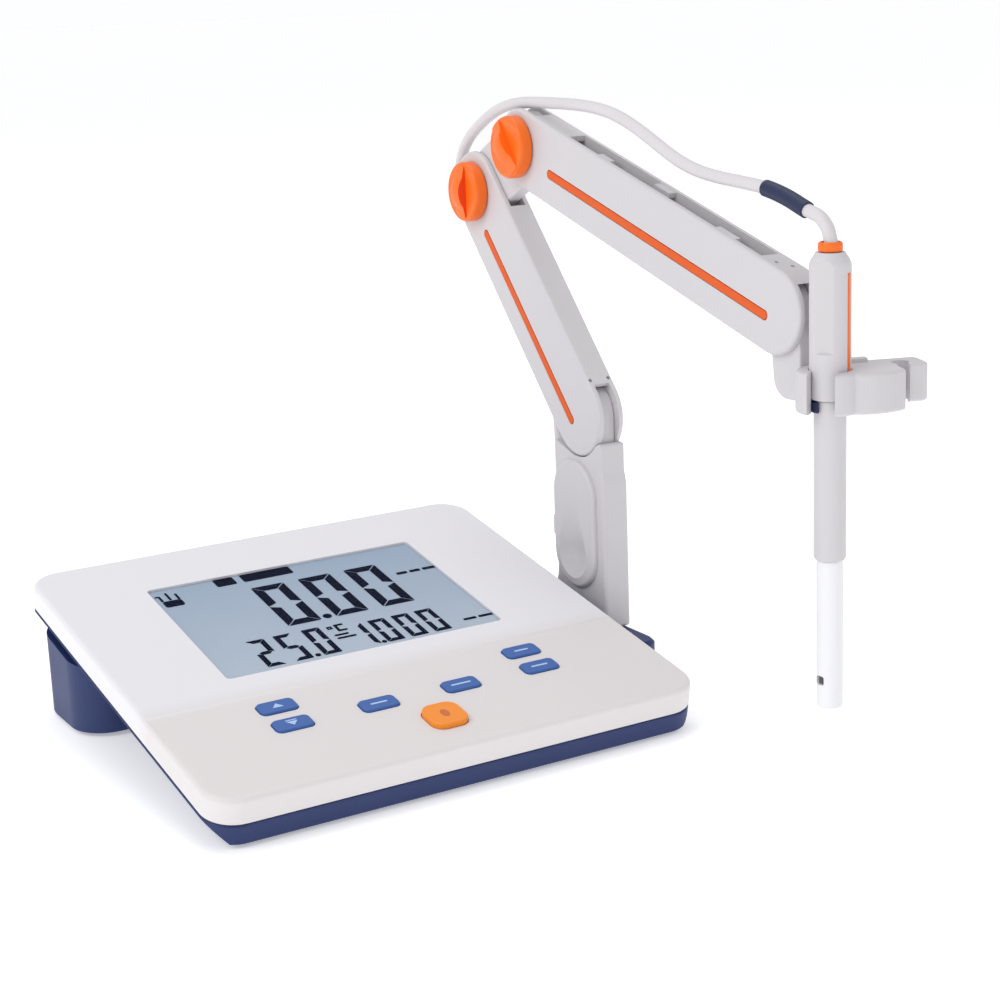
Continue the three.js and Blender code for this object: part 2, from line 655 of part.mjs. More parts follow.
// Clip in its own plan frame: the electrode's ring, a front block, and a slim side slot.
function electrodeClip() {
  const { bottom: z0, top: z1, inner, outer } = CLIP;
  const ring = softPrism(new THREE.Shape().absarc(0, 0, outer, 0, Math.PI * 2), z0, z1, 1, 10, 1);
  const block = softPrism(blockOutline(), z0, z1, 1.2, 3, 1);
  const plate = softPrism(roundedRect(2, 38.2, -1, 13, 3), z0 + 1, z1, 1.2, 2, 1);
  const rib = prism(roundedRect(7, 18, 8.5, 12.5, 1), z1 - 1, z1 + 1.5, 2);
  const bore = disc(inner, z0 - 1, z1 + 3, 24);
  const mouth = prism(roundedRect(-5.3, 5.3, -20, 0, 0.5), z0 - 1, z1 + 3, 1)
    .rotate([0, 0, CLIP.mouthTurn]);
  const slimBore = disc(3.4, z0 - 1, z1 + 3, 16).translate([28.5, 4, 0]);
  const slimMouth = box(25.8, 30.5, -20, 4, z0 - 1, z1 + 3);
  return cut(join(ring, block, plate, rib), bore, mouth, slimBore, slimMouth);
}

// Front block of the clip: straight sides and a gently bowed face.
function blockOutline() {
  const shape = new THREE.Shape();
  shape.moveTo(1, -9.5);
  shape.quadraticCurveTo(14, -13.5, 25.8, -9.8);
  shape.lineTo(25.8, 6);
  shape.lineTo(4, 6);
  return shape;
}

// Rubber shelf under the electrode's shoulder, open at the same side as the ring.
function clipLiner() {
  const ring = turned([
    [6.3, CLIP.bottom + 0.3], [7.7, CLIP.bottom + 0.3], [7.7, ELECTRODE.bodyFoot - GAP],
    [6.3, ELECTRODE.bodyFoot - GAP], [6.3, CLIP.bottom + 0.3],
  ], 24);
  const mouth = box(-2.4, 5.3, -20, 0, 100, 180).rotate([0, 0, CLIP.mouthTurn]);
  return cut(ring, mouth);
}

function electrodeBody() {
  const { bodyR, bodyFoot, capFoot } = ELECTRODE;
  const handle = turned([
    [0, bodyFoot], [bodyR - 0.5, bodyFoot], [bodyR, bodyFoot + 0.8], [bodyR, capFoot - 3.3],
    [ELECTRODE.capR + 0.8, capFoot - GAP], [0, capFoot - GAP],
  ], 24);
  const groove = box(-0.95, 0.95, -bodyR - 1, -bodyR + 0.9, BODY_STRIPE[0] - 0.15,
    BODY_STRIPE[1] + 0.15).rotate([0, 0, BODY_STRIPE_TURN]);
  return cut(handle, groove);
}

function bodyStripe() {
  return box(-0.8, 0.8, -ELECTRODE.bodyR - 0.15, -ELECTRODE.bodyR + 0.75, ...BODY_STRIPE)
    .rotate([0, 0, BODY_STRIPE_TURN]);
}

function electrodeCap() {
  const { capFoot, capTop } = ELECTRODE;
  return turned([
    [0, capFoot], [ELECTRODE.capR - 0.3, capFoot], [ELECTRODE.capR, capFoot + 0.4], [ELECTRODE.capR, capTop - 0.8],
    [ELECTRODE.capR - 0.8, capTop], [0, capTop],
  ], 24);
}

function electrodeTube() {
  return turned([
    [0, ELECTRODE.tubeFoot + 1], [5.4, ELECTRODE.tubeFoot + 1], [6, ELECTRODE.tubeFoot + 2],
    [6, ELECTRODE.bodyFoot - GAP], [0, ELECTRODE.bodyFoot - GAP],
  ], 24);
}

// Lower guard: closed above, open below round the sensing cell, with two side vents.
function electrodeGuard() {
  const top = ELECTRODE.tubeFoot + 0.7;
  const { guardR, tip } = ELECTRODE;
  const tube = turned([
    [0, tip + 17], [3.9, tip + 17], [3.9, tip], [guardR - 0.4, tip],
    [guardR, tip + 0.6], [guardR, top], [0, top],
  ], 24);
  return cut(tube, box(-8, 8, -1.8, 1.8, tip + 9, tip + 13));
}

// Sensing cell: a stub that carries two parallel plates.
function sensingCell() {
  const { tip } = ELECTRODE;
  const stub = disc(2.6, tip + 12, tip + 16.7, 16);
  return join(stub, box(-2, -1.4, -1.6, 1.6, tip + 3, tip + 13),
    box(1.4, 2, -1.6, 1.6, tip + 3, tip + 13));
}

function buildHead() {
  add(armPlane, 'head_link', 'grey_plastic', headLink());
  add(armPlane, 'head_pin', 'steel', forkPin(ARM.thick / 2)).position.set(HEAD.x, HEAD.y, 0);
  const clip = uprightFrame(ELECTRODE.reach, CLIP.turn);
  add(clip, 'electrode_clip', 'grey_plastic', electrodeClip());
  add(clip, 'clip_liner', 'navy_plastic', clipLiner());
  const stand = uprightFrame(ELECTRODE.reach);
  add(stand, 'electrode_body', 'grey_plastic', electrodeBody());
  add(stand, 'electrode_stripe', 'orange_plastic', bodyStripe());
  add(stand, 'electrode_cap', 'orange_plastic', electrodeCap());
  add(stand, 'electrode_tube', 'grey_plastic', electrodeTube());
  add(stand, 'electrode_guard', 'white_plastic', electrodeGuard());
  add(stand, 'sensing_cell', 'platinum', sensingCell());
}

// ---------------------------------------------------------------- cable

// Route in the arm plane, [forward, up], from the electrode's cap to the post's foot.
const ARM_ROUTE = [
  [163, 199], [161.5, 202.6], [157.6, 206.2], [150, 208.4], [138, 212.3], [126, 214.9],
  [112, 216.2], [98, 217.2], [84.8, 218.8], [73, 221.6], [63.5, 225], [54, 229],
  [44.2, 233], [33, 237], [22.7, 239.6], [10, 241.4], [-4, 242.2], [-18, 242.4],
  [-32, 242.4], [-46, 242], [-57.6, 240.8], [-67, 238.6], [-76, 235.4], [-86, 230.6],
  [-95, 225], [-102, 218], [-105.8, 209], [-105, 198.5], [-100, 188.5], [-92, 180.4],
  [-83.5, 174.4], [-75, 169.2], [-66.2, 163.6], [-57, 155.8], [-48.2, 146], [-38.5, 135],
  [-31.2, 124.5], [-26.6, 112.5], [-24.8, 99], [-24.5, 86], [-24.5, 72], [-24.5, 58],
  [-24.5, 46], [-24.5, 36],
];

// Route on the bench, in the work frame, from the post's foot to the coil.
const BENCH_ROUTE = [
  [126, 136.2, 29.5], [126, 138.8, 24], [126, 143.2, 20.3], [126, 149.2, 18.7],
  [126, 155.6, 16.8], [125.5, 161.6, 12], [124.4, 167.6, 7], [123, 175, 3.8],
  [121.4, 184, 2.9], [119.8, 196, 2.8], [118.7, 210, 2.8], [118.1, 224, 2.8],
  [118, 237, 2.8], [118, 248, 2.8],
];

// Route from the top of the coil to the plug.
const PLUG_ROUTE = [
  [62, 269, 13.4], [62, 262, 14], [62, 254, 15.9], [62, 246, 18.3], [62, 239.5, 19.7],
  [62, 234.4, 20],
];

const CUTS = {
  lead_electrode: [0, 5], lead_head: [5, 13], lead_elbow_upper: [13, 21],
  lead_elbow_lower: [21, 34], lead_shoulder: [34, 41], lead_swivel: [41, 57],
};

function wholeRoute() {
  const upright = ARM_ROUTE.map(([forward, up]) => (
    new THREE.Vector3(ARM.x, ARM.y - forward, up)
  ));
  return [...upright, ...BENCH_ROUTE.map((p) => new THREE.Vector3(...p))];
}

// One stretch of the cable between two of the route's points, short of each by a gap.
function cableStretch(curve, from, to, radius = CABLE_R, sides = 4, hollow = 0) {
  const last = curve.points.length - 1;
  const length = curve.points[from].distanceTo(curve.points[to]);
  const inset = (to - from) / last * GAP / length;
  const steps = to - from;
  const points = [];
  for (let i = 0; i <= steps; i += 1) {
    const u = THREE.MathUtils.lerp(from / last + inset, to / last - inset, i / steps);
    points.push(curve.getPoint(u));
  }
  const section = new THREE.Shape();
  section.absarc(0, 0, radius, 0, Math.PI * 2);
  if (hollow > 0) {
    section.holes.push(new THREE.Path().absarc(0, 0, hollow, 0, Math.PI * 2, true));
  }
  return solid(new THREE.ExtrudeGeometry(section, {
    steps, curveSegments: sides, extrudePath: new THREE.CatmullRomCurve3(points),
  }));
}

function coilRing() {
  const { radius, width, height } = COIL;
  const r0 = radius - width / 2;
  const r1 = radius + width / 2;
  const base = 0.3;
  return turned([
    [r0 + 1.5, base], [r1 - 1.5, base], [r1, base + 1.5], [r1, height - 1.5],
    [r1 - 1.5, height], [r0 + 1.5, height], [r0, height - 1.5], [r0, base + 1.5],
    [r0 + 1.5, base],
  ], 32);
}

// Bayonet plug on the measuring socket, with its strain relief.
function cablePlug() {
  const z0 = LEG.back;
  const shellBody = turned([
    [6.2, z0 + 3.2], [7.5, z0 + 3.2], [7.5, z0 + 15], [5.6, z0 + 17], [5.2, z0 + 32],
    [3.4, z0 + 44], [0, z0 + 44], [0, z0 + 11], [6.2, z0 + 11], [6.2, z0 + 3.2],
  ], 20);
  return along(shellBody.translate([0, 0, -z0]), PLUG.x, z0, PLUG.z);
}

function buildCable() {
  const curve = new THREE.CatmullRomCurve3(wholeRoute(), false, 'centripetal');
  for (const [name, [from, to]] of Object.entries(CUTS)) {
    add(workFrame, name, 'cable_grey', cableStretch(curve, from, to));
  }
  const tail = new THREE.CatmullRomCurve3(PLUG_ROUTE.map((p) => new THREE.Vector3(...p)));
  add(workFrame, 'lead_plug', 'cable_grey', cableStretch(tail, 0, PLUG_ROUTE.length - 1));
  add(workFrame, 'cable_marker', 'navy_plastic',
    cableStretch(curve, 3, 5, CABLE_R + 0.75, 5, CABLE_R + 0.3));
  add(workFrame, 'cable_coil', 'cable_grey', coilRing()).position.set(COIL.x, COIL.y, 0);
  add(workFrame, 'cable_plug', 'black_plastic', cablePlug());
}

buildCase();
buildPost();
buildArms();
buildHead();
buildCable();

export default root;
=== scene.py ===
"""Looks for a bench meter with an electrode arm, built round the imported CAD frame."""
import json
import math

import bmesh
import bpy
from mathutils import Matrix, Vector

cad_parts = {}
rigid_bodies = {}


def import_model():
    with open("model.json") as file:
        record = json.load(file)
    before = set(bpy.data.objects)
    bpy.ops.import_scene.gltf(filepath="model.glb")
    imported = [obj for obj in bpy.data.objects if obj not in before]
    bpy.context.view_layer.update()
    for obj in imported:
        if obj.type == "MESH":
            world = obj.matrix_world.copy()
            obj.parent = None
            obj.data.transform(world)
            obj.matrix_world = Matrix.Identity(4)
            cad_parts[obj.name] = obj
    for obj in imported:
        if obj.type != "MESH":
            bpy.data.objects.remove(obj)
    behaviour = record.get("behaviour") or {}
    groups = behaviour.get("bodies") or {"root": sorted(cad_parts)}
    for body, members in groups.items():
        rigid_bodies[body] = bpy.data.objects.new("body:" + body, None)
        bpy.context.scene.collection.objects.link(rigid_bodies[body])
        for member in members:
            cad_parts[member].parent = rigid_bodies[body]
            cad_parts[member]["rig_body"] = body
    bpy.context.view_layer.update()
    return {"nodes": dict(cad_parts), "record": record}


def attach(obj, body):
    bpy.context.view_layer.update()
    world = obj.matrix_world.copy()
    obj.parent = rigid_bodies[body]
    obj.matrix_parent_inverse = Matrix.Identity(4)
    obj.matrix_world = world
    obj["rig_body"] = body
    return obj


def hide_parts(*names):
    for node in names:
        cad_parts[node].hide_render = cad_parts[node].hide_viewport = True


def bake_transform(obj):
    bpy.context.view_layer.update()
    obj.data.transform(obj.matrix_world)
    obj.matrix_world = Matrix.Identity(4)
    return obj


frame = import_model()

NODES = frame["nodes"]

# ------------------------------------------------------------------ shared sizes, mm

# Work frame: X = 0 on the case's centre line, Y = 0 at its front top edge, Z = 0 on the bench.
SHIFT = Vector((29.7, 70.3, 0))
WORK = Matrix.Scale(0.001, 4) @ Matrix.Translation(-SHIFT)

CASE_W, CASE_L, CASE_R, WALL = 210, 202.2, 13, 2.5
COVER_D, TRAY_D, TRAY_TAPER = 10.5, 19, 7.5
FRONT_TOP, SLOPE = 19.5, math.radians(10.5)
LEG_FRONT, LEG_BACK, LEG_R, FLOOR = 138, 190, 16, 1.2
PANEL_X = -1.5                   # centre line of the display and the keys
LCD_W, LCD_L, LCD_S = 124, 85.4, 125.7
KEY_W, KEY_L, KEY_R, KEY_UP = 15.5, 8.5, 2.4, 1.0
KEYS = {
    "key_up": (-54.3, 54.5), "key_down": (-54.3, 40.3), "key_set": (-18.1, 40.3),
    "key_measure": (18.1, 40.3), "key_calibrate": (54.3, 54.5), "key_cancel": (54.3, 40.3),
}
POWER_W, POWER_L, POWER_R, POWER_S, POWER_UP = 15.5, 16, 5, 20.8, 2.2

ARM_X, ARM_Y = 126, 111
ARM_T, SLOT_T, TONGUE_T = 13, 7.8, 7.2
SHOULDER = Vector((0, 109))
ELBOW_LOW = Vector((-82.5, 201.5))
ELBOW_HIGH = Vector((-42, 223.5))
HEAD = Vector((137, 170.5))
LOWER_HALF, UPPER_HALF, LINK_HALF = 18, 16.5, 15
PIN_R = 3
KNOB_R, KNOB_T, RIDGE_W = 13.6, 6.2, 7
GAP = 0.3                        # between neighbouring pieces

REACH = 163                      # electrode axis, forward of the post
TIP, TUBE_FOOT, BODY_FOOT, CAP_FOOT, CAP_TOP = 21.5, 78.5, 140.5, 194.7, 198.1
BODY_R, CAP_R, TUBE_R, GUARD_R = 7.65, 4.5, 6, 5
CLIP_TURN, MOUTH_TURN = math.radians(-20), math.radians(-37)
CLIP_Z0, CLIP_Z1 = 136, 151.5

CABLE_R = 2.5
CABLE_Z = 2.8                    # centre line of the lead where it lies on the bench
COIL_C, COIL_R = Vector((90, 270)), 28
COIL_TURNS, COIL_STEPS = 3.5, 24
COIL_SPREAD, COIL_RISE = 2.6, 5.0


def turn(angle, axis):
    return Matrix.Rotation(angle, 4, axis)


def shift(x, y, z):
    return Matrix.Translation((x, y, z))


# deck: x across, y up the slope, z out of the top face.
DECK = WORK @ shift(0, 0, FRONT_TOP) @ turn(SLOPE, "X")
# arm plane: x forward, y up, z towards the knobs.
ARM_AXES = Matrix(((0, 0, -1, 0), (-1, 0, 0, 0), (0, 1, 0, 0), (0, 0, 0, 1)))
ARM = WORK @ shift(ARM_X, ARM_Y, 0) @ ARM_AXES
STAND = WORK @ shift(ARM_X, ARM_Y - REACH, 0)
CLIP = STAND @ turn(CLIP_TURN, "Z")


def bar(start, end):
    """Arm-plane frame with its origin at start and its y axis towards end."""
    d = end - start
    return ARM @ shift(start.x, start.y, 0) @ turn(math.atan2(d.y, d.x) - math.pi / 2, "Z")


# ------------------------------------------------------------------ camera

CAMERA_AT = (-338.76, -609.18, 288.44)
YAW, PITCH, ROLL = -0.52577, 0.24812, -0.04020
FOCAL_MM = 71.68


def make_camera():
    right = Vector((math.cos(YAW), math.sin(YAW), 0))
    ahead = Vector((-math.sin(YAW), math.cos(YAW), 0))
    up = Vector((0, 0, 1))
    forward = math.cos(PITCH) * ahead - math.sin(PITCH) * up
    upward = math.sin(PITCH) * ahead + math.cos(PITCH) * up
    x_axis = math.cos(ROLL) * right + math.sin(ROLL) * upward
    y_axis = -math.sin(ROLL) * right + math.cos(ROLL) * upward
    data = bpy.data.cameras.new("camera")
    data.lens = FOCAL_MM
    data.sensor_width = 36
    data.clip_start, data.clip_end = 0.05, 100
    camera = bpy.data.objects.new("camera", data)
    bpy.context.scene.collection.objects.link(camera)
    rotation = Matrix((x_axis, y_axis, -forward)).transposed().to_4x4()
    camera.matrix_world = Matrix.Translation(WORK @ Vector(CAMERA_AT)) @ rotation
    bpy.context.scene.camera = camera


make_camera()

# ------------------------------------------------------------------ materials


def srgb(r, g, b):
    """Linear colour from 8-bit display values."""
    def linear(c):
        c /= 255
        return c / 12.92 if c <= 0.04045 else ((c + 0.055) / 1.055) ** 2.4
    return (linear(r), linear(g), linear(b), 1)


def new_material(name):
    material = bpy.data.materials.new(name)
    material.use_nodes = True
    tree = material.node_tree
    return material, tree, tree.nodes["Principled BSDF"]


def link(tree, a, b):
    tree.links.new(a, b)


def noise(tree, scale, detail=2.0):
    """Noise in object coordinates; scale is in cycles per metre."""
    place = tree.nodes.new("ShaderNodeTexCoord")
    node = tree.nodes.new("ShaderNodeTexNoise")
    node.inputs["Scale"].default_value = scale
    node.inputs["Detail"].default_value = detail
    link(tree, place.outputs["Object"], node.inputs["Vector"])
    return node


def spread(tree, source, low, high):
    """Maps 0..1 to low..high."""
    node = tree.nodes.new("ShaderNodeMapRange")
    node.inputs["To Min"].default_value = low
    node.inputs["To Max"].default_value = high
    link(tree, source, node.inputs["Value"])
    return node.outputs["Result"]


def add_bump(tree, shader, height, distance, strength=1.0):
    bump = tree.nodes.new("ShaderNodeBump")
    bump.inputs["Distance"].default_value = distance
    bump.inputs["Strength"].default_value = strength
    link(tree, height, bump.inputs["Height"])
    link(tree, bump.outputs["Normal"], shader.inputs["Normal"])


def tinted(tree, shader, colour, amount, scale):
    """Base colour that drifts a little in lightness over the surface."""
    drift = noise(tree, scale)
    mix = tree.nodes.new("ShaderNodeMix")
    mix.data_type = "RGBA"
    mix.inputs[6].default_value = tuple(c * (1 - amount) for c in colour[:3]) + (1,)
    mix.inputs[7].default_value = tuple(min(1, c * (1 + amount)) for c in colour[:3]) + (1,)
    link(tree, drift.outputs["Fac"], mix.inputs[0])
    link(tree, mix.outputs[2], shader.inputs["Base Color"])


def moulded(name, colour, rough=0.45, grain=2600, depth=0.00002, amount=0.03, coat=0.0):
    """Injection-moulded plastic: fine spark-eroded grain, uneven gloss, slight drift in tone."""
    material, tree, shader = new_material(name)
    tinted(tree, shader, colour, amount, 18)
    gloss = noise(tree, 45, 4)
    link(tree, spread(tree, gloss.outputs["Fac"], rough - 0.07, rough + 0.07),
         shader.inputs["Roughness"])
    texture = noise(tree, grain, 3)
    add_bump(tree, shader, texture.outputs["Fac"], depth, 0.6)
    shader.inputs["Coat Weight"].default_value = coat
    shader.inputs["Coat Roughness"].default_value = 0.2
    return material


def metal(name, colour, rough=0.3):
    material, tree, shader = new_material(name)
    shader.inputs["Metallic"].default_value = 1
    tinted(tree, shader, colour, 0.06, 120)
    gloss = noise(tree, 900, 4)
    link(tree, spread(tree, gloss.outputs["Fac"], rough - 0.08, rough + 0.1),
         shader.inputs["Roughness"])
    add_bump(tree, shader, gloss.outputs["Fac"], 0.00001, 0.4)
    return material


def rubber(name, colour, rough=0.75):
    material, tree, shader = new_material(name)
    tinted(tree, shader, colour, 0.08, 60)
    shader.inputs["Roughness"].default_value = rough
    dust = noise(tree, 1800, 5)
    add_bump(tree, shader, dust.outputs["Fac"], 0.00004, 0.5)
    return material


def cover_material():
    """White membrane-faced top: a keypad zone a shade warmer than the display zone."""
    material, tree, shader = new_material("cover_white")
    place = tree.nodes.new("ShaderNodeTexCoord")
    split = tree.nodes.new("ShaderNodeSeparateXYZ")
    link(tree, place.outputs["Object"], split.inputs["Vector"])
    ramp = tree.nodes.new("ShaderNodeMapRange")
    front = WORK @ Vector((0, 62, 0))
    back = WORK @ Vector((0, 74, 0))
    ramp.inputs["From Min"].default_value = front.y
    ramp.inputs["From Max"].default_value = back.y
    link(tree, split.outputs["Y"], ramp.inputs["Value"])
    mix = tree.nodes.new("ShaderNodeMix")
    mix.data_type = "RGBA"
    mix.inputs[6].default_value = srgb(226, 222, 222)
    mix.inputs[7].default_value = srgb(233, 232, 237)
    link(tree, ramp.outputs["Result"], mix.inputs[0])
    link(tree, mix.outputs[2], shader.inputs["Base Color"])
    gloss = noise(tree, 30, 4)
    link(tree, spread(tree, gloss.outputs["Fac"], 0.38, 0.5), shader.inputs["Roughness"])
    grain = noise(tree, 3200, 2)
    add_bump(tree, shader, grain.outputs["Fac"], 0.000012, 0.5)
    return material


def ink_material():
    """Liquid crystal figures: near black, without gloss of their own."""
    material, tree, shader = new_material("lcd_ink")
    tinted(tree, shader, srgb(12, 18, 42), 0.1, 60)
    shader.inputs["Roughness"].default_value = 0.7
    shader.inputs["Specular IOR Level"].default_value = 0.02
    return material


def lcd_material():
    """Reflective panel: pale blue-grey, lighter towards the keys, a little clouded."""
    material, tree, shader = new_material("lcd_panel")
    place = tree.nodes.new("ShaderNodeTexCoord")
    split = tree.nodes.new("ShaderNodeSeparateXYZ")
    link(tree, place.outputs["Object"], split.inputs["Vector"])
    cloud = noise(tree, 14, 2)
    ramp = tree.nodes.new("ShaderNodeMapRange")
    ramp.inputs["From Min"].default_value = (WORK @ Vector((0, 85, 0))).y
    ramp.inputs["From Max"].default_value = (WORK @ Vector((0, 165, 0))).y
    link(tree, split.outputs["Y"], ramp.inputs["Value"])
    blend = tree.nodes.new("ShaderNodeMath")
    blend.operation = "MULTIPLY_ADD"
    blend.inputs[1].default_value = 0.5
    link(tree, cloud.outputs["Fac"], blend.inputs[0])
    half = tree.nodes.new("ShaderNodeMath")
    half.operation = "MULTIPLY"
    half.inputs[1].default_value = 0.55
    link(tree, ramp.outputs["Result"], half.inputs[0])
    link(tree, half.outputs[0], blend.inputs[2])
    mix = tree.nodes.new("ShaderNodeMix")
    mix.data_type = "RGBA"
    mix.inputs[6].default_value = srgb(191, 204, 219)
    mix.inputs[7].default_value = srgb(158, 178, 201)
    link(tree, blend.outputs[0], mix.inputs[0])
    link(tree, mix.outputs[2], shader.inputs["Base Color"])
    shader.inputs["Roughness"].default_value = 0.35
    shader.inputs["Specular IOR Level"].default_value = 0.15
    return material


def window_material():
    material, tree, shader = new_material("clear_window")
    shader.inputs["Base Color"].default_value = (0.05, 0.06, 0.08, 1)
    shader.inputs["Alpha"].default_value = 0.03
    smear = noise(tree, 40, 3)
    link(tree, spread(tree, smear.outputs["Fac"], 0.06, 0.16), shader.inputs["Roughness"])
    return material


def cable_material():
    """Soft pale sheath with the slight waviness and dull bloom of flexible plastic."""
    material, tree, shader = new_material("cable_sheath")
    tinted(tree, shader, srgb(216, 212, 215), 0.03, 50)
    shader.inputs["Roughness"].default_value = 0.5
    wave = noise(tree, 350, 2)
    add_bump(tree, shader, wave.outputs["Fac"], 0.00012, 0.35)
    return material


MATERIALS = {
    "white_plastic": cover_material(),
    "blue_plastic": moulded("case_blue", srgb(22, 44, 98), 0.5),
    "key_blue": moulded("key_blue", srgb(54, 98, 170), 0.5, amount=0.04),
    "orange_plastic": moulded("accent_orange", srgb(252, 112, 8), 0.42, amount=0.03),
    "inlay_orange": moulded("inlay_orange", srgb(226, 88, 0), 0.6, amount=0.03),
    # deeper orange: painted shade on the long sides of the lower knob's ridge
    "ridge_painted_shade": moulded("ridge_painted_shade", srgb(236, 68, 4), 0.5, amount=0.03),
    "power_orange": moulded("power_orange", srgb(250, 146, 38), 0.45, amount=0.02),
    "power_dot": moulded("power_dot", srgb(206, 108, 52), 0.5, amount=0.03),
    "grey_plastic": moulded("arm_grey", srgb(209, 206, 209), 0.48, amount=0.015),
    "display_glass": window_material(),
    "display_frame": lcd_material(),
    "circuit_board": moulded("board_green", srgb(20, 92, 52), 0.4, grain=700),
    "black_rubber": rubber("foot_rubber", srgb(26, 26, 28)),
    "silicone": rubber("mat_silicone", srgb(120, 124, 130)),
    "steel": metal("plated_steel", srgb(176, 178, 182)),
    "black_plastic": moulded("black_plastic", srgb(26, 27, 30), 0.5),
    "navy_plastic": moulded("liner_navy", srgb(22, 34, 74), 0.5),
    "cable_grey": cable_material(),
    "platinum": metal("coated_cell", srgb(70, 72, 76), 0.5),
    "guard_white": moulded("guard_white", srgb(238, 238, 242), 0.4, amount=0.01),
    "ink": ink_material(),
    "print": moulded("key_print", srgb(176, 204, 246), 0.5),
}

# ------------------------------------------------------------------ mesh helpers, local mm


def arc(cx, cy, r, start, end, steps):
    """Points on an arc, angles in degrees."""
    return [
        (cx + r * math.cos(math.radians(a)), cy + r * math.sin(math.radians(a)))
        for a in (start + (end - start) * i / steps for i in range(steps + 1))
    ]


def rounded_rect(x0, x1, y0, y1, r, steps=10):
    return (
        arc(x1 - r, y1 - r, r, 0, 90, steps) + arc(x0 + r, y1 - r, r, 90, 180, steps)
        + arc(x0 + r, y0 + r, r, 180, 270, steps) + arc(x1 - r, y0 + r, r, 270, 360, steps)
    )


def stadium(length, r, steps=36):
    return arc(0, length, r, 0, 180, steps) + arc(0, 0, r, 180, 360, steps)


def scratch(mesh):
    """A working object; booleans and bevels run on it before it is put in place."""
    obj = bpy.data.objects.new("scratch", mesh)
    bpy.context.scene.collection.objects.link(obj)
    return obj


def from_rings(rings, closed_ends=True):
    """Skins a stack of equal-length rings of 3-D points."""
    bm = bmesh.new()
    rows = [[bm.verts.new(p) for p in ring] for ring in rings]
    count = len(rows[0])
    for low, high in zip(rows, rows[1:]):
        for i in range(count):
            j = (i + 1) % count
            bm.faces.new((low[i], low[j], high[j], high[i]))
    if closed_ends:
        bm.faces.new(list(reversed(rows[0])))
        bm.faces.new(rows[-1])
    bmesh.ops.remove_doubles(bm, verts=bm.verts, dist=1e-5)
    bmesh.ops.recalc_face_normals(bm, faces=bm.faces)
    mesh = bpy.data.meshes.new("rings")
    bm.to_mesh(mesh)
    bm.free()
    return scratch(mesh)


def prism(outline, z0, z1):
    return from_rings([[(x, y, z) for x, y in outline] for z in (z0, z1)])


def box(x0, x1, y0, y1, z0, z1):
    return prism([(x0, y0), (x1, y0), (x1, y1), (x0, y1)], z0, z1)


def lathe(profile, sides=72):
    """A solid turned about local z from [radius, z] rows that start and end on the axis."""
    bm = bmesh.new()
    rows = []
    for r, z in profile:
        if r < 1e-6:
            rows.append([bm.verts.new((0, 0, z))])
        else:
            angles = (2 * math.pi * i / sides for i in range(sides))
            rows.append([bm.verts.new((r * math.cos(a), r * math.sin(a), z)) for a in angles])
    for low, high in zip(rows, rows[1:]):
        for i in range(sides):
            j = (i + 1) % sides
            corners = [low[i % len(low)], low[j % len(low)],
                       high[j % len(high)], high[i % len(high)]]
            face = list(dict.fromkeys(corners))
            if len(face) > 2:
                bm.faces.new(face)
    bmesh.ops.recalc_face_normals(bm, faces=bm.faces)
    mesh = bpy.data.meshes.new("lathe")
    bm.to_mesh(mesh)
    bm.free()
    return scratch(mesh)


def cylinder(r, z0, z1, sides=48):
    return lathe([(0, z0), (r, z0), (r, z1), (0, z1)], sides)


def moved(obj, matrix):
    obj.data.transform(matrix)
    return obj


def bake(obj):
    """Replaces the mesh with what its modifiers make of it."""
    depsgraph = bpy.context.evaluated_depsgraph_get()
    mesh = bpy.data.meshes.new_from_object(obj.evaluated_get(depsgraph))
    obj.modifiers.clear()
    old = obj.data
    obj.data = mesh
    bpy.data.meshes.remove(old)
    return obj


def combine(obj, tools, operation):
    for tool in tools:
        boolean = obj.modifiers.new("boolean", "BOOLEAN")
        boolean.operation = operation
        boolean.solver = "EXACT"
        boolean.object = tool
    bake(obj)
    for tool in tools:
        bpy.data.objects.remove(tool)
    return obj


def cut(obj, *tools):
    return combine(obj, tools, "DIFFERENCE")


def join(obj, *tools):
    return combine(obj, tools, "UNION")


def soften(obj, width, segments=3, angle=34):
    """Rounds every edge sharper than angle."""
    bevel = obj.modifiers.new("bevel", "BEVEL")
    bevel.width = width
    bevel.segments = segments
    bevel.limit_method = "ANGLE"
    bevel.angle_limit = math.radians(angle)
    bevel.use_clamp_overlap = True
    bevel.miter_outer = "MITER_ARC"
    return bake(obj)


def piece(obj, name, matrix, body, slot, replaces=(), material=None, flat_angle=40):
    """Puts a finished working object into the frame as a named, painted piece on a body."""
    obj.data.transform(matrix)
    obj.name = name
    obj.data.name = name
    obj.data.shade_smooth()
    obj.data.set_sharp_from_angle(angle=math.radians(flat_angle))
    obj.data.materials.clear()
    obj.data.materials.append(MATERIALS[material or slot])
    weighted = obj.modifiers.new("weighted", "WEIGHTED_NORMAL")
    weighted.keep_sharp = True
    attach(obj, body)
    if replaces:
        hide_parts(*replaces)
    return obj


def paint_nodes():
    """Gives every CAD node the finish of its material slot."""
    for part in frame["record"]["subparts"]:
        node = NODES[part["node"]]
        node.data.materials.clear()
        node.data.materials.append(MATERIALS[part["material_slot"]])


paint_nodes()


def ease_edges(names, width):
    """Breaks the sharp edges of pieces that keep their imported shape."""
    for name in names:
        bevel = NODES[name].modifiers.new("eased", "BEVEL")
        bevel.width = width
        bevel.segments = 2
        bevel.limit_method = "ANGLE"
        bevel.angle_limit = math.radians(45)
        bevel.harden_normals = True


ease_edges(("arm_bracket",), 0.0006)
ease_edges(("rear_panel", "data_port", "dc_inlet", "temperature_socket", "measuring_socket",
            "cable_plug", "foot_front_left", "foot_front_right", "foot_rear_left",
            "foot_rear_right", "bracket_screw", "elbow_bolt_lower", "elbow_bolt_upper",
            "shoulder_pin", "head_pin"), 0.00025)

# ------------------------------------------------------------------ electrode lead

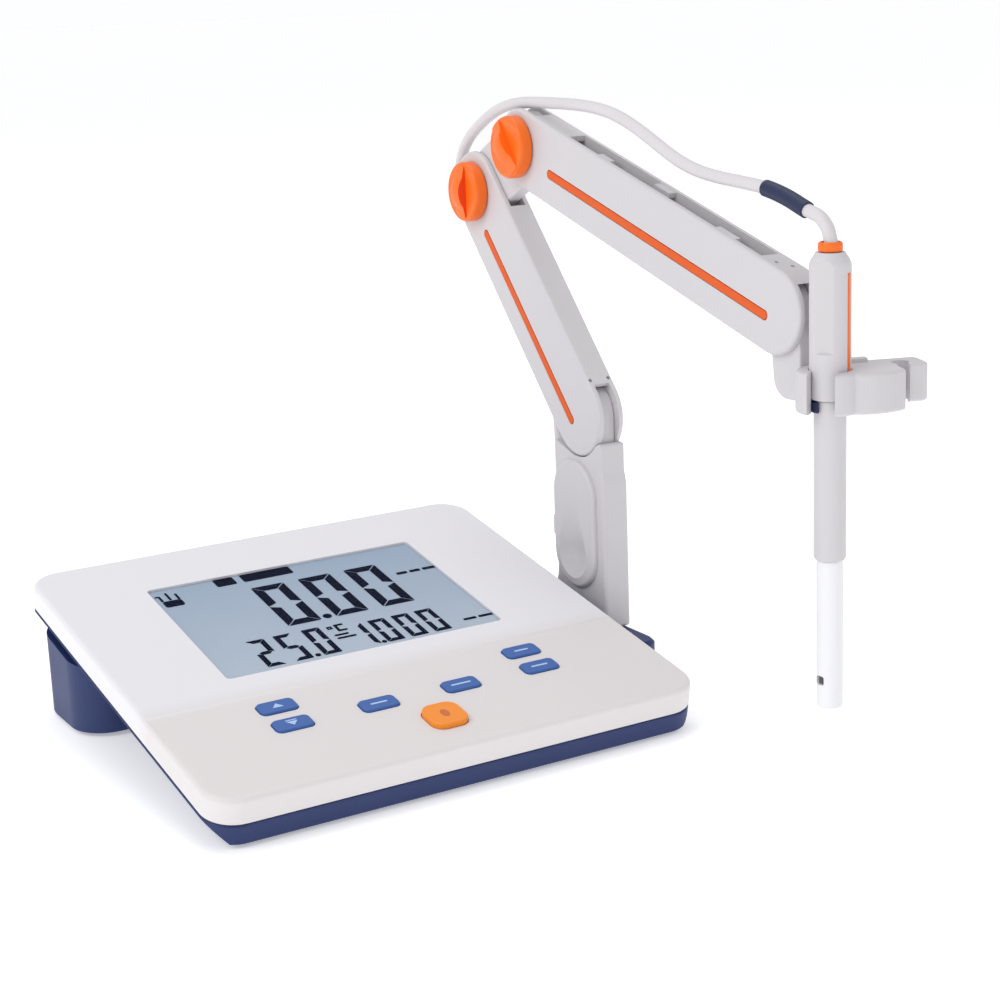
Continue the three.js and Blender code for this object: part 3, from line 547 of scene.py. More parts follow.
# Arm plane, [forward, up], from the electrode's cap to the foot of the post.
ARM_ROUTE = [
    (163, 199), (161.5, 202.6), (157.6, 206.2), (150, 208.4), (138, 212.3), (126, 214.9),
    (112, 216.2), (98, 217.2), (84.8, 218.8), (73, 221.6), (63.5, 225), (54, 229),
    (44.2, 233), (33, 237), (22.7, 239.6), (10, 241.4), (-4, 242.2), (-18, 242.4),
    (-32, 242.4), (-46, 242), (-57.6, 240.8), (-67, 238.6), (-76, 235.4), (-86, 230.6),
    (-95, 225), (-102, 218), (-105.8, 209), (-105, 198.5), (-100, 188.5), (-92, 180.4),
    (-83.5, 174.4), (-75, 169.2), (-66.2, 163.6), (-57, 155.8), (-48.2, 146), (-38.5, 135),
    (-31.2, 124.5), (-26.6, 112.5), (-24.8, 99), (-24.5, 86), (-24.5, 72), (-24.5, 58),
    (-24.5, 46), (-24.5, 36),
]
# Work frame, from the foot of the post to the coil, and from the coil to the plug.
BENCH_ROUTE = [
    (126, 136.2, 29.5), (126, 138.8, 24), (126, 143.2, 20.3), (126, 149.2, 18.7),
    (126, 155.6, 16.8), (125.5, 161.6, 12), (124.4, 167.6, 7), (123, 175, 3.8),
    (121.4, 184, 2.9), (119.8, 196, 2.8), (118.7, 210, 2.8), (118.1, 224, 2.8),
    (118, 237, 2.8), (118, 248, 2.8),
]
PLUG_ROUTE = [
    (62, 262, 14), (62, 254, 15.9), (62, 246, 18.3), (62, 239.5, 19.7), (62, 234.4, 20),
]


def unit(value):
    return min(1, max(0, value))


def coil_route():
    """Anticlockwise turns on the bench: a lower layer that closes in, an upper one that opens."""
    points = []
    count = int(COIL_TURNS * COIL_STEPS)
    for i in range(count + 1):
        turns = i / COIL_STEPS
        angle = 2 * math.pi * turns
        upper = unit((turns - 1.4) / 0.4)
        last = unit((turns - 2.9) / 0.4)
        radius = COIL_R + COIL_SPREAD * math.cos(math.pi * unit(turns / 1.4)) * (1 - upper)
        radius += upper * COIL_SPREAD * (2 * unit(turns - 1.8) - 1)
        height = CABLE_Z + COIL_RISE * upper + 0.2 * last
        points.append((COIL_C.x + radius * math.cos(angle),
                       COIL_C.y + radius * math.sin(angle), height))
    return points


def smooth_line(points, per_span=6):
    """Centripetal Catmull-Rom curve through the points."""
    pts = [Vector(p) for p in points]
    pts = [2 * pts[0] - pts[1], *pts, 2 * pts[-1] - pts[-2]]
    line = []
    for p0, p1, p2, p3 in zip(pts, pts[1:], pts[2:], pts[3:]):
        t1 = max(1e-6, (p1 - p0).length) ** 0.5
        t2 = t1 + max(1e-6, (p2 - p1).length) ** 0.5
        t3 = t2 + max(1e-6, (p3 - p2).length) ** 0.5
        for i in range(per_span):
            t = t1 + (t2 - t1) * i / per_span
            a1 = p0.lerp(p1, t / t1)
            a2 = p1.lerp(p2, (t - t1) / (t2 - t1))
            a3 = p2.lerp(p3, (t - t2) / (t3 - t2))
            b1 = a1.lerp(a2, t / t2)
            b2 = a2.lerp(a3, (t - t1) / (t3 - t1))
            line.append(b1.lerp(b2, (t - t1) / (t2 - t1)))
    line.append(pts[-2])
    return line


def tube(line, radius, sides=16):
    """Round tube along a line of points, with its section carried along without twist."""
    rings = []
    side = None
    for i, point in enumerate(line):
        ahead = (line[min(i + 1, len(line) - 1)] - line[max(i - 1, 0)]).normalized()
        if side is None:
            side = ahead.orthogonal().normalized()
        side = (side - side.dot(ahead) * ahead).normalized()
        other = ahead.cross(side)
        ring = [
            point + radius * (math.cos(a) * side + math.sin(a) * other)
            for a in (2 * math.pi * k / sides for k in range(sides))
        ]
        rings.append(ring)
    return from_rings(rings)


UPRIGHT_ROUTE = [(ARM_X, ARM_Y - forward, up) for forward, up in ARM_ROUTE]
WHOLE_ROUTE = UPRIGHT_ROUTE + BENCH_ROUTE
SPAN = 6
WHOLE_LINE = smooth_line(WHOLE_ROUTE, SPAN)


def lead(name, line, bodies, replaces, bend=None):
    """One stretch of the lead: a painted tube riding on its first body, or on no body when bend
    is given.
    """
    obj = piece(tube(line, CABLE_R), name, WORK, bodies[0], "cable_grey", replaces)
    if bend:
        obj.parent = None
        obj.matrix_world = Matrix.Identity(4)
        del obj["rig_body"]
        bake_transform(obj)


def make_marker():
    """Dark sleeve on the lead near the electrode."""
    line = WHOLE_LINE[3 * SPAN:5 * SPAN + 1]
    obj = tube(line, CABLE_R + 0.7, 24)
    return piece(obj, "marker_sleeve", WORK, "head", "navy_plastic", ("cable_marker",))


STRETCHES = [
    # name, first and last route point, the two bodies, where the bending starts and ends
    ("lead_at_electrode", 0, 5, ("electrode", "head"), (0, 3), ("lead_electrode",)),
    ("lead_along_arm", 5, 13, ("head", "upper_arm"), (5, 13), ("lead_head",)),
    ("lead_over_elbow", 13, 21, ("upper_arm", "elbow_link"), (13, 21), ("lead_elbow_upper",)),
    ("lead_round_elbow", 21, 34, ("elbow_link", "lower_arm"), (22, 31), ("lead_elbow_lower",)),
    ("lead_at_shoulder", 34, 41, ("lower_arm", "post"), (35, 39), ("lead_shoulder",)),
]


def make_leads():
    marker = make_marker()
    for name, first, last, bodies, bend, replaces in STRETCHES:
        line = WHOLE_LINE[first * SPAN:last * SPAN + 1]
        if first == 0:
            # into the cap's recess
            line = [line[0] - 2.8 * (line[2] - line[0]).normalized(), *line]
        ends = tuple(WHOLE_ROUTE[i] for i in bend)
        lead(name, line, bodies, replaces, ends)
    swivel = WHOLE_LINE[41 * SPAN:54 * SPAN + 1]
    lead("lead_at_post", swivel, ("post", "case"), ("lead_swivel",),
         (WHOLE_ROUTE[43], WHOLE_ROUTE[49]))
    rest = smooth_line(WHOLE_ROUTE[54:] + coil_route()[1:] + PLUG_ROUTE, 4)
    lead("lead_coiled", rest, ("case",), ("cable_coil", "lead_plug"))


make_leads()

# ------------------------------------------------------------------ case


def case_outline(inset):
    return rounded_rect(-CASE_W / 2 + inset, CASE_W / 2 - inset, inset, CASE_L - inset,
                        CASE_R - inset * 0.8, 14)


def round_up(r, z, steps=8):
    """[inset, z] rows of a rounded upper rim that ends at height z."""
    angles = (math.pi / 2 * i / steps for i in range(steps + 1))
    return [(r * (1 - math.cos(a)), z - r + r * math.sin(a)) for a in angles]


def stacked(outline_at, rows):
    return from_rings([[(x, y, z) for x, y in outline_at(inset)] for inset, z in rows])


def lcd_outline(grow):
    return rounded_rect(PANEL_X - LCD_W / 2 - grow, PANEL_X + LCD_W / 2 + grow,
                        LCD_S - LCD_L / 2 - grow, LCD_S + LCD_L / 2 + grow, 2)


def key_outline(grow):
    return rounded_rect(-KEY_W / 2 - grow, KEY_W / 2 + grow, -KEY_L / 2 - grow,
                        KEY_L / 2 + grow, KEY_R + grow, 8)


def power_outline(grow):
    return rounded_rect(-POWER_W / 2 - grow, POWER_W / 2 + grow, -POWER_L / 2 - grow,
                        POWER_L / 2 + grow, POWER_R + grow, 10)


def hole(outline, x, y):
    return moved(prism(outline, -20, 5), shift(x, y, 0))


def make_cover():
    """Top shell: soft rim, shallow crease above the keys, pockets round display and keys."""
    body = stacked(case_outline, [(0.5, -COVER_D), (0, -COVER_D + 0.6), *round_up(2, 0)])
    hollow = prism(case_outline(WALL), -COVER_D - 1, -WALL)
    tools = [hollow, prism(lcd_outline(GAP), -20, 5)]
    tools += [hole(key_outline(GAP), PANEL_X + x, s) for x, s in KEYS.values()]
    tools.append(hole(power_outline(GAP), PANEL_X, POWER_S))
    crease = moved(cylinder(3, -120, 120), shift(0, 66, 2.75) @ turn(math.pi / 2, "Y"))
    tools.append(crease)
    body = cut(body, *tools)
    body = soften(body, 0.25, 2, 50)
    return piece(body, "cover_shell", DECK, "case", "white_plastic", ("top_cover",))


def tray_wedge(inset):
    """Cross-section whose long sides slope in below the seam, pushed from front to back."""
    side, low = CASE_W / 2 - inset, -TRAY_D + inset
    outline = [(-side + TRAY_TAPER, low), (side - TRAY_TAPER, low), (side, low + TRAY_TAPER),
               (side, 40), (-side, 40), (-side, low + TRAY_TAPER)]
    return moved(prism(outline, -250, 50), turn(math.pi / 2, "X"))


def make_tray():
    """Lower shell with its rear leg, a seam under the cover and a rounded underside."""
    rows = [(1.2, -TRAY_D), (0.5, -TRAY_D + 0.3), (0.1, -TRAY_D + 0.8), (0, -TRAY_D + 1.3),
            (0, -COVER_D - 0.9), (0.5, -COVER_D - 0.3)]
    tray = stacked(case_outline, rows)
    combine(tray, [tray_wedge(0)], "INTERSECT")
    sloped = shift(0, 0, FRONT_TOP) @ turn(SLOPE, "X")
    moved(tray, sloped)
    foot = [(1.2, FLOOR), (0.35, FLOOR + 0.4), (0, FLOOR + 1.2), (0, 60)]

    def leg_outline(inset):
        return rounded_rect(-CASE_W / 2 + inset, CASE_W / 2 - inset, LEG_FRONT + inset,
                            LEG_BACK - inset, LEG_R - inset, 16)

    leg = stacked(leg_outline, foot)
    cut(leg, moved(box(-130, 130, -60, 280, -TRAY_D + 3, 90), sloped))
    body = join(tray, leg)
    hollow = prism(case_outline(WALL), -TRAY_D + WALL, 10)
    combine(hollow, [tray_wedge(WALL)], "INTERSECT")
    moved(hollow, sloped)
    leg_hollow = prism(leg_outline(WALL), FLOOR + WALL, 60)
    panel = box(-75, 75, LEG_BACK - 4, LEG_BACK + 2, 6, 30)
    bolt = moved(cylinder(2.4, 10, 32, 24), shift(84, ARM_Y, 0))
    wells = [moved(cylinder(3.4, 0, 3.9, 24), shift(x, y, 0))
             for x in (-86, 86) for y in (152, 176)]
    cut(body, hollow, leg_hollow, panel, bolt, *wells)
    return piece(body, "tray_shell", WORK, "case", "blue_plastic", ("bottom_case",))


def plates(outlines, z0, z1):
    """Many flat plates in one mesh."""
    bm = bmesh.new()
    for outline in outlines:
        low = [bm.verts.new((x, y, z0)) for x, y in outline]
        high = [bm.verts.new((x, y, z1)) for x, y in outline]
        bm.faces.new(list(reversed(low)))
        bm.faces.new(high)
        for i in range(len(low)):
            j = (i + 1) % len(low)
            bm.faces.new((low[i], low[j], high[j], high[i]))
    bmesh.ops.recalc_face_normals(bm, faces=bm.faces)
    mesh = bpy.data.meshes.new("plates")
    bm.to_mesh(mesh)
    bm.free()
    return scratch(mesh)


FIGURES = {"0": "abcdef", "1": "bc", "2": "abged", "5": "afgcd"}


def figure(char, x, y, w, h, t):
    """Seven-segment figure with mitred bars, lower left corner at x, y."""
    g = t * 0.1
    m = y + h / 2
    left = {
        "f": [(x, m + g), (x + t, m + t / 2 + g), (x + t, y + h - t - g), (x, y + h - g)],
        "e": [(x, y + g), (x + t, y + t + g), (x + t, m - t / 2 - g), (x, m - g)],
    }
    bars = {
        "a": [(x + g, y + h), (x + w - g, y + h), (x + w - t - g, y + h - t),
              (x + t + g, y + h - t)],
        "g": [(x + t / 2, m), (x + t + g, m + t / 2), (x + w - t - g, m + t / 2),
              (x + w - t / 2, m), (x + w - t - g, m - t / 2), (x + t + g, m - t / 2)],
        "d": [(x + t + g, y + t), (x + w - t - g, y + t), (x + w - g, y), (x + g, y)],
        "b": [(2 * x + w - px, py) for px, py in left["f"]],
        "c": [(2 * x + w - px, py) for px, py in left["e"]],
        **left,
    }
    return [bars[name] for name in FIGURES[char]]


def slab(x0, x1, y0, y1, r=0.5):
    return rounded_rect(x0, x1, y0, y1, min(r, (y1 - y0) / 2.01, (x1 - x0) / 2.01), 3)


def frame_of(x0, x1, y0, y1, t):
    """Four bars round a rectangle."""
    return [slab(x0, x1, y1 - t, y1, 0.1), slab(x0, x1, y0, y0 + t, 0.1),
            slab(x0, x0 + t, y0 + t, y1 - t, 0.1), slab(x1 - t, x1, y0 + t, y1 - t, 0.1)]


def make_display():
    """Dark figures under the window: main reading, temperature, constant and small icons."""
    shapes = []
    for x in (-22, 0, 22):
        shapes += figure("0", x, 116, 15, 38.5, 4.2)
    shapes.append(arc(-3.6, 117.8, 1.9, 0, 345, 23))
    for char, x in (("2", -44.3), ("5", -32.3), ("0", -19.6)):
        shapes += figure(char, x, 87, 7.8, 23, 2.3)
    shapes.append(arc(-22.1, 88.2, 1.2, 0, 345, 15))
    for char, x in (("1", -1.8), ("0", 9.2), ("0", 20.2), ("0", 31.2)):
        shapes += figure(char, x, 86.5, 7.6, 20, 2.1)
    shapes.append(arc(7.5, 87.5, 1.1, 0, 345, 15))
    # degree sign and C
    shapes += frame_of(-8.9, -6.6, 106.2, 108.5, 0.7)
    shapes += [slab(-5.4, -1.2, 108.0, 109.2), slab(-5.4, -4.2, 103.2, 109.2, 0.2),
               slab(-5.4, -1.2, 103.2, 104.4)]
    # plain bars where the words stand
    shapes += [slab(-8.7, -0.2, 97, 98.2), slab(-8.7, -2.4, 99.8, 101)]
    shapes += [slab(42, 47, 141, 143), slab(48.4, 53.4, 141, 143), slab(54.8, 61, 141, 143)]
    shapes += [slab(47, 53, 90.4, 92), slab(54.2, 61, 90.4, 92)]
    shapes += [slab(-34, -25, 161.5, 168.3, 0.8), slab(-21.6, 1.6, 161.5, 168.3, 0.8)]
    # beaker icon
    shapes += [slab(-61, -60, 157.8, 163, 0.2), slab(-53.6, -52.6, 157.8, 163, 0.2),
               slab(-61, -52.6, 152, 157.5, 1.2), slab(-62.2, -60.9, 162.2, 163.2, 0.2),
               slab(-57.3, -56.3, 158.2, 165, 0.2)]
    ink = plates(shapes, -1.08, -0.9)
    return piece(ink, "display_figures", DECK, "case", "display_glass", (), "ink", 30)


def print_on(name, key, outlines, z, material="print"):
    x, s = KEYS.get(key, (0, POWER_S))
    obj = plates(outlines, z - 0.03, z + 0.05)
    slot = "orange_plastic" if key == "key_power" else "key_blue"
    return piece(obj, name, DECK @ shift(PANEL_X + x, s, 0), key, slot, (), material, 30)


MARKS = {
    "key_up": [[(-2.3, -1.3), (2.3, -1.3), (0, 1.7)]],
    "key_down": [[(-2.3, 1.1), (2.3, 1.1), (0, -1.7)], slab(-2.3, 2.3, 1.7, 2.3, 0.2)],
    "key_set": [slab(-3.6, 3.6, -0.5, 0.5)],
    "key_measure": [slab(-4.4, 4.4, -0.5, 0.5)],
    "key_calibrate": [slab(-3.2, 3.2, -0.5, 0.5)],
    "key_cancel": [slab(-3.8, 3.8, -0.5, 0.5)],
}


def key_body(outline_at, up, dish):
    """Cap with a rounded rim and a slightly dished top, on its hidden flange."""
    rows = [(0, -4), *round_up(0.7, up, 6), (1.4, up - dish)]
    cap = stacked(lambda inset: outline_at(-inset), rows)
    return join(cap, prism(outline_at(1.5), -4.2, -2.8))


def make_keys():
    for name, (x, s) in KEYS.items():
        place = DECK @ shift(PANEL_X + x, s, 0)
        body = key_body(key_outline, KEY_UP, 0.12)
        piece(body, name + "_cap", place, name, "key_blue", (name,), None, 32)
        print_on(name + "_mark", name, MARKS[name], KEY_UP - 0.12)
    body = key_body(power_outline, POWER_UP, 0.18)
    place = DECK @ shift(PANEL_X, POWER_S, 0)
    piece(body, "key_power_cap", place, "key_power", "orange_plastic", ("key_power",),
          "power_orange", 32)
    dot = [(1.75 * math.cos(a), 2.75 * math.sin(a)) for a in
           (2 * math.pi * i / 28 for i in range(28))]
    print_on("key_power_mark", "key_power", [dot], POWER_UP - 0.18, "power_dot")


# ------------------------------------------------------------------ post and arms


def bar_tool(angle, half):
    d = ELBOW_LOW - SHOULDER
    lean = math.atan2(d.y, d.x) - math.pi / 2 + math.radians(angle)
    return moved(prism(stadium(130, half, 48), -20, 20),
                 shift(SHOULDER.x, SHOULDER.y, 0) @ turn(lean, "Z"))


def make_post():
    """Sleeve and column with an arched, scooped boss; the tongue stands in the arm's fork."""
    h = ARM_T / 2
    outline = [(-19.5, 15.3), (19.5, 15.3), (19.5, 80), (19.1, 82.5), (18.3, 85), (18, 87)]
    outline += [(18, 98.5), (8, 98.5), (-8, 104), (-18, 104), (-18, 87), (-18.3, 85),
                (-19.1, 82.5), (-19.5, 80)]
    cheeks = soften(prism(outline, -h, h), 1.6, 4)
    sweeps = [bar_tool(a, LOWER_HALF + 0.4) for a in (30, 15, 0, -7)]
    cut(cheeks, *sweeps)
    neck = arc(SHOULDER.x, SHOULDER.y, LINK_HALF - 1, 0, 180, 32)
    neck += [(-LINK_HALF + 1, 80), (LINK_HALF - 1, 80)]
    tongue = prism(neck, -TONGUE_T / 2, TONGUE_T / 2)
    arch = arc(-2, 73, 16, 0, 180, 48) + arc(-2, 47, 16, 180, 360, 48)
    pad = soften(prism(arch, h - 3, h + 2.4), 1.5, 5)
    bowl = [(18 * math.sin(t), -18 * math.cos(t)) for t in
            (math.pi / 2 * k / 16 for k in range(17))]
    scoop = lathe([*bowl, (18, 60), (0, 60)], 96)
    lean = math.radians(9)
    moved(scoop, shift(-3, 46, h + 16.6) @ turn(lean - math.pi / 2, "X"))
    hook = cylinder(CABLE_R + 1.6, -4, 4)
    cut(hook, cylinder(CABLE_R + GAP, -6, 6), box(-8, 0, -2, 2, -6, 6))
    moved(hook, shift(-24.5, 54, 0) @ turn(-math.pi / 2, "X"))
    stem = box(-21.2, -18, 50, 58, -1.5, 1.5)
    body = join(cheeks, tongue, pad)
    soften(cut(body, scoop), 0.4, 3, 30)
    join(body, hook, stem)
    bore = moved(cylinder(3.9, 0, 35), turn(-math.pi / 2, "X"))
    pin = moved(cylinder(PIN_R + GAP, -10, 10), shift(SHOULDER.x, SHOULDER.y, 0))
    cut(body, bore, pin)
    return piece(body, "post_shell", ARM, "post", "grey_plastic", ("post_column",), None, 35)


def make_bar(name, start, end, half, web, roofs, tabs, stripe, blind, body, dimples):
    """Forked channel bar: side plates, web, snap tabs, an inlaid stripe's groove."""
    length = (end - start).length
    h, s = ARM_T / 2, SLOT_T / 2
    skin = 2.4
    obj = soften(prism(stadium(length, half, 56), -h, h), 1.4, 4)
    keep = [box(half - skin, half + 5, web[0], web[1], -s - 1, s + 1)]
    keep += [box(-half - 5, -half + skin, y0, y1, -s - 1, s + 1) for y0, y1 in roofs]
    slot = cut(box(-half - 5, half + 5, -half - 5, length + half + 5, -s, s), *keep)
    x, y0, y1 = stripe
    groove = moved(prism(stadium(y1 - y0, 2.05, 20), h - 1.3, h + 1), shift(x, y0, 0))
    tops = (h - 0.9, 20) if blind == "start" else (20, h - 0.9)
    bores = [moved(cylinder(PIN_R + GAP, -20, top), shift(0, y, 0))
             for y, top in zip((0, length), tops)]
    sinks = [moved(cylinder(0.9, -2, 2, 20), shift(dx, dy, dz) @ turn(math.pi / 2, "Y"))
             for dx, dy, dz in dimples]
    cut(obj, slot, groove, *bores, *sinks)
    clips = []
    for a, b, side in tabs:
        z0, z1 = (0.4, s + 0.6) if side > 0 else (-s - 0.6, -0.4)
        clips.append(box(-half + 0.6, -half + 2.6, a, b, z0, z1))
    join(obj, *clips)
    soften(obj, 0.3, 2, 60)
    return piece(obj, name, bar(start, end), body, "grey_plastic", (body,), None, 35)


def make_stripe(name, start, end, stripe, body, node):
    x, y0, y1 = stripe
    h = ARM_T / 2
    obj = soften(prism(stadium(y1 - y0, 1.75, 20), h - 1, h + 0.2), 0.3, 2)
    place = bar(start, end) @ shift(x, y0, 0)
    return piece(obj, name, place, body, "orange_plastic", (node,), "inlay_orange")


def make_link():
    length = (ELBOW_HIGH - ELBOW_LOW).length
    obj = soften(prism(stadium(length, LINK_HALF, 48), -TONGUE_T / 2, TONGUE_T / 2), 0.8, 3)
    cut(obj, *[moved(cylinder(PIN_R + GAP, -20, 20), shift(0, y, 0)) for y in (0, length)])
    return piece(obj, "link_plate", bar(ELBOW_LOW, ELBOW_HIGH), "elbow_link", "grey_plastic",
                 ("elbow_link",))


def make_knob(name, at, ridge_turn, body, node, ridge_side_shade):
    """Clamp knob: a dished dial with a domed grip ridge across it."""
    z = ARM_T / 2 + GAP
    top = z + KNOB_T
    dial = lathe([(0, z), (KNOB_R - 0.8, z), (KNOB_R - 0.2, z + 0.3), (KNOB_R, z + 0.9),
                  (KNOB_R, top - 1.8), (KNOB_R - 0.4, top - 0.8), (KNOB_R - 1.2, top - 0.15),
                  (KNOB_R - 1.8, top), (KNOB_R - 2.6, top - 0.25), (0, top - 0.45)], 96)
    dome = [(13 * math.sin(t), top - 12.5 + 16.7 * math.cos(t) ** 0.9)
            for t in (math.radians(a) for a in range(66, 0, -6))]
    dome = [(r, height) for r, height in dome if height > top + 0.3]
    ridge = lathe([(0, top - 1.2), (KNOB_R - 1.2, top - 1.2), (KNOB_R - 1.2, top + 0.3), *dome,
                   (0, top + 4.2)], 96)
    half = RIDGE_W / 2
    band = prism(rounded_rect(-half, half, -20, 20, 1, 4), top - 3, top + 9)
    combine(ridge, [band], "INTERSECT")
    soften(ridge, 0.6, 3, 40)
    moved(ridge, turn(math.radians(ridge_turn), "Z"))
    cut(dial, cylinder(3.6, z - 1, z + 3))
    place = ARM @ shift(at.x, at.y, 0)
    piece(ridge, name + "_ridge", place, body, "orange_plastic", (), None, 32)
    ridge.data.materials.append(MATERIALS[ridge_side_shade])
    # the ridge's two long sides take a second material; on the lower knob it is a deeper orange
    # that is painted shade
    across = (place.to_3x3() @ turn(math.radians(ridge_turn), "Z").to_3x3()).col[0].normalized()
    for face in ridge.data.polygons:
        face.material_index = int(abs(face.normal.dot(across)) > 0.6)
    return piece(dial, name, place, body, "orange_plastic", (node,), None, 32)


LOWER_STRIPE = (-5, 1, 103)
UPPER_STRIPE = (3, 28, 183)


def make_arms():
    upper_length = (HEAD - ELBOW_HIGH).length
    make_bar("lower_arm_shell", SHOULDER, ELBOW_LOW, LOWER_HALF, (4, 101), (),
             ((36, 44, 1), (56, 64, -1), (76, 84, 1)), LOWER_STRIPE, "start", "lower_arm",
             ((LOWER_HALF, 6.5, 4.6), (LOWER_HALF, 6.5, -4.6)))
    make_bar("upper_arm_shell", ELBOW_HIGH, HEAD, UPPER_HALF, (24, upper_length - 22),
             ((8, 36), (upper_length - 14, upper_length + 9)),
             ((57, 66, 1), (94, 105, -1), (141.5, 154.5, 1)), UPPER_STRIPE, "end", "upper_arm",
             ((-UPPER_HALF, upper_length - 7, 2.2), (-UPPER_HALF, upper_length - 2, -1.6)))
    make_stripe("lower_stripe", SHOULDER, ELBOW_LOW, LOWER_STRIPE, "lower_arm",
                "lower_arm_stripe")
    make_stripe("upper_stripe", ELBOW_HIGH, HEAD, UPPER_STRIPE, "upper_arm", "upper_arm_stripe")
    make_link()
    # the lower knob's ridge sides are painted a deeper orange as painted shade; the upper knob's
    # stay plain orange
    make_knob("knob_dial_lower", ELBOW_LOW, 0, "knob_lower", "clamp_knob_lower",
              "ridge_painted_shade")
    make_knob("knob_dial_upper", ELBOW_HIGH, 35, "knob_upper", "clamp_knob_upper",
              "orange_plastic")


# ------------------------------------------------------------------ head and electrode


def make_head():
    t = TONGUE_T / 2
    outline = arc(HEAD.x, HEAD.y, 12, -20, 180, 36)
    outline += [(HEAD.x - 4, HEAD.y - 16), (HEAD.x - 3, 145.5)]
    outline += arc(HEAD.x + 5, 145.5, 8, 184, 270, 14)
    outline += [(150.1, 137.5), (150.1, HEAD.y - 14)]
    obj = soften(prism(outline, -t, t), 0.9, 3)
    cut(obj, moved(cylinder(PIN_R + GAP, -20, 20), shift(HEAD.x, HEAD.y, 0)))
    return piece(obj, "head_plate", ARM, "head", "grey_plastic", ("head_link",))


def make_clip():
    """Ring with its mouth, bowed front block, recessed right-hand hook and a top rib."""
    z0, z1 = CLIP_Z0, CLIP_Z1
    ring = soften(cylinder(12.6, z0, z1, 96), 1.2, 4)
    bow = [(1 + 24.8 * k / 12, -9.5 - 4 * math.sin(math.pi * k / 12) * 0.88) for k in range(13)]
    block = soften(prism(bow + [(25.8, 6), (4, 6)], z0, z1), 1.3, 4)
    plate = soften(prism(rounded_rect(2, 38.2, -1, 13, 3, 8), z0 + 1, z1), 1.2, 4)
    rib = soften(prism(rounded_rect(7, 18, 8.5, 12.5, 1, 6), z1 - 2, z1 + 1.5), 0.5, 3)
    obj = join(ring, block, plate, rib)
    mouth = moved(prism(rounded_rect(-5.3, 5.3, -20, 0, 0.5, 4), z0 - 1, z1 + 3),
                  turn(MOUTH_TURN, "Z"))
    cut(obj, cylinder(8, z0 - 1, z1 + 3, 96), mouth,
        moved(cylinder(3.4, z0 - 1, z1 + 3), shift(28.5, 4, 0)),
        box(25.8, 30.5, -20, 4, z0 - 1, z1 + 3))
    soften(obj, 0.35, 2, 60)
    return piece(obj, "clip_shell", CLIP, "head", "grey_plastic", ("electrode_clip",), None, 35)


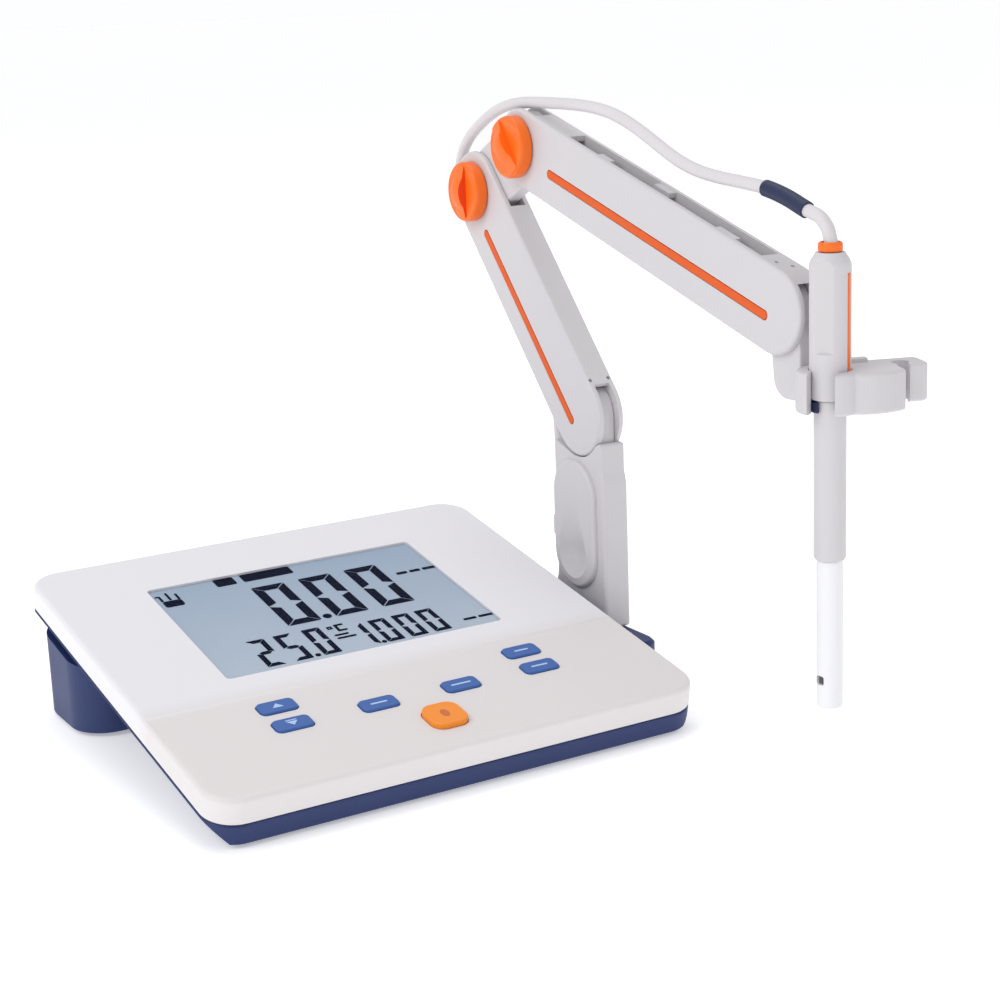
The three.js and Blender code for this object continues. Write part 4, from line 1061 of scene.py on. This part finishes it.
def make_electrode():
    """Handle with grip facets and a cut groove, cap, shaft and vented guard."""
    r = BODY_R
    handle = lathe([(0, BODY_FOOT), (r - 1, BODY_FOOT), (r - 0.3, BODY_FOOT + 0.4),
                    (r, BODY_FOOT + 1.2), (r, CAP_FOOT - 5), (r - 0.6, CAP_FOOT - 3),
                    (r - 1.7, CAP_FOOT - 1.3), (CAP_R + 0.8, CAP_FOOT - 0.3),
                    (0, CAP_FOOT - 0.3)], 96)
    facets = []
    for angle, foot in ((-58, 158), (98, 158)):
        flat = soften(box(r - 0.8, r + 4, -6, 6, foot, 200), 0.4, 3)
        facets.append(moved(flat, turn(math.radians(angle - 90), "Z")))
    groove = moved(box(-0.95, 0.95, -r - 1, -r + 0.9, 150.85, 187.15),
                   turn(math.radians(21.5), "Z"))
    cut(handle, groove, *facets)
    piece(handle, "electrode_handle", STAND, "electrode", "grey_plastic", ("electrode_body",),
          None, 25)
    cap = lathe([(0, CAP_FOOT), (CAP_R - 0.3, CAP_FOOT), (CAP_R, CAP_FOOT + 0.4),
                 (CAP_R, CAP_TOP - 0.8), (CAP_R - 0.3, CAP_TOP - 0.2), (CAP_R - 0.7, CAP_TOP),
                 (3.5, CAP_TOP), (3.4, CAP_TOP - 2.4), (0, CAP_TOP - 2.4)], 64)
    piece(cap, "electrode_collar", STAND, "electrode", "orange_plastic", ("electrode_cap",))
    shaft = lathe([(0, TUBE_FOOT + 1), (TUBE_R - 0.6, TUBE_FOOT + 1), (TUBE_R, TUBE_FOOT + 2),
                   (TUBE_R, BODY_FOOT - GAP), (0, BODY_FOOT - GAP)], 72)
    piece(shaft, "electrode_shaft", STAND, "electrode", "grey_plastic", ("electrode_tube",))
    bore = GUARD_R - 1.1
    guard = lathe([(0, TIP + 17), (bore, TIP + 17), (bore, TIP), (GUARD_R - 0.5, TIP),
                   (GUARD_R - 0.1, TIP + 0.3), (GUARD_R, TIP + 0.9), (GUARD_R, TUBE_FOOT - 1),
                   (GUARD_R - 0.3, TUBE_FOOT + 0.7), (0, TUBE_FOOT + 0.7)], 64)
    vent = prism(rounded_rect(-2, 2, -1.8, 1.8, 0.9, 8), -8, 8)
    moved(vent, shift(0, 0, TIP + 11) @ turn(math.pi / 2, "Y") @ turn(math.pi / 2, "Z"))
    cut(guard, vent)
    soften(guard, 0.2, 2, 50)
    piece(guard, "electrode_tip_guard", STAND, "electrode", "white_plastic",
          ("electrode_guard",), "guard_white")


make_cover()
make_tray()
make_display()
make_keys()
make_post()
make_arms()
make_head()
make_clip()
make_electrode()

# ------------------------------------------------------------------ stage


def make_stage():
    bpy.ops.mesh.primitive_plane_add(size=80, location=(0, 0, -0.0002))
    floor = bpy.context.object
    floor.name = "floor"
    material, _, shader = new_material("floor")
    shader.inputs["Base Color"].default_value = (0.97, 0.97, 0.975, 1)
    shader.inputs["Roughness"].default_value = 0.7
    shader.inputs["Emission Color"].default_value = (1, 1, 1, 1)
    shader.inputs["Emission Strength"].default_value = 0.34
    floor.data.materials.append(material)


def area_light(name, at, towards, size, power, colour=(1, 1, 1)):
    data = bpy.data.lights.new(name, "AREA")
    data.energy = power
    data.size = size
    data.color = colour
    lamp = bpy.data.objects.new(name, data)
    bpy.context.scene.collection.objects.link(lamp)
    lamp.location = at
    lamp.rotation_euler = (Vector(towards) - Vector(at)).to_track_quat("-Z", "Y").to_euler()


def make_light():
    """Bright haze at the horizon, a softer sky, and a large lamp high on the left."""
    world = bpy.data.worlds.new("studio")
    world.use_nodes = True
    bpy.context.scene.world = world
    tree = world.node_tree
    background = tree.nodes["Background"]
    place = tree.nodes.new("ShaderNodeTexCoord")
    split = tree.nodes.new("ShaderNodeSeparateXYZ")
    link(tree, place.outputs["Generated"], split.inputs["Vector"])
    height = tree.nodes.new("ShaderNodeMapRange")
    height.inputs["From Min"].default_value = 0.03
    height.inputs["From Max"].default_value = 0.3
    height.inputs["To Min"].default_value = 1.0
    height.inputs["To Max"].default_value = 0.66
    link(tree, split.outputs["Z"], height.inputs["Value"])
    link(tree, height.outputs["Result"], background.inputs["Strength"])
    background.inputs["Color"].default_value = (0.985, 0.99, 1, 1)
    area_light("key", (-1.5, -0.1, 1.5), (0, 0, 0.05), 1.0, 11)
    area_light("top", (0.2, 0.6, 2.0), (0, 0, 0.1), 1.0, 7)


make_stage()
make_light()
bpy.context.scene.view_settings.view_transform = "Standard"
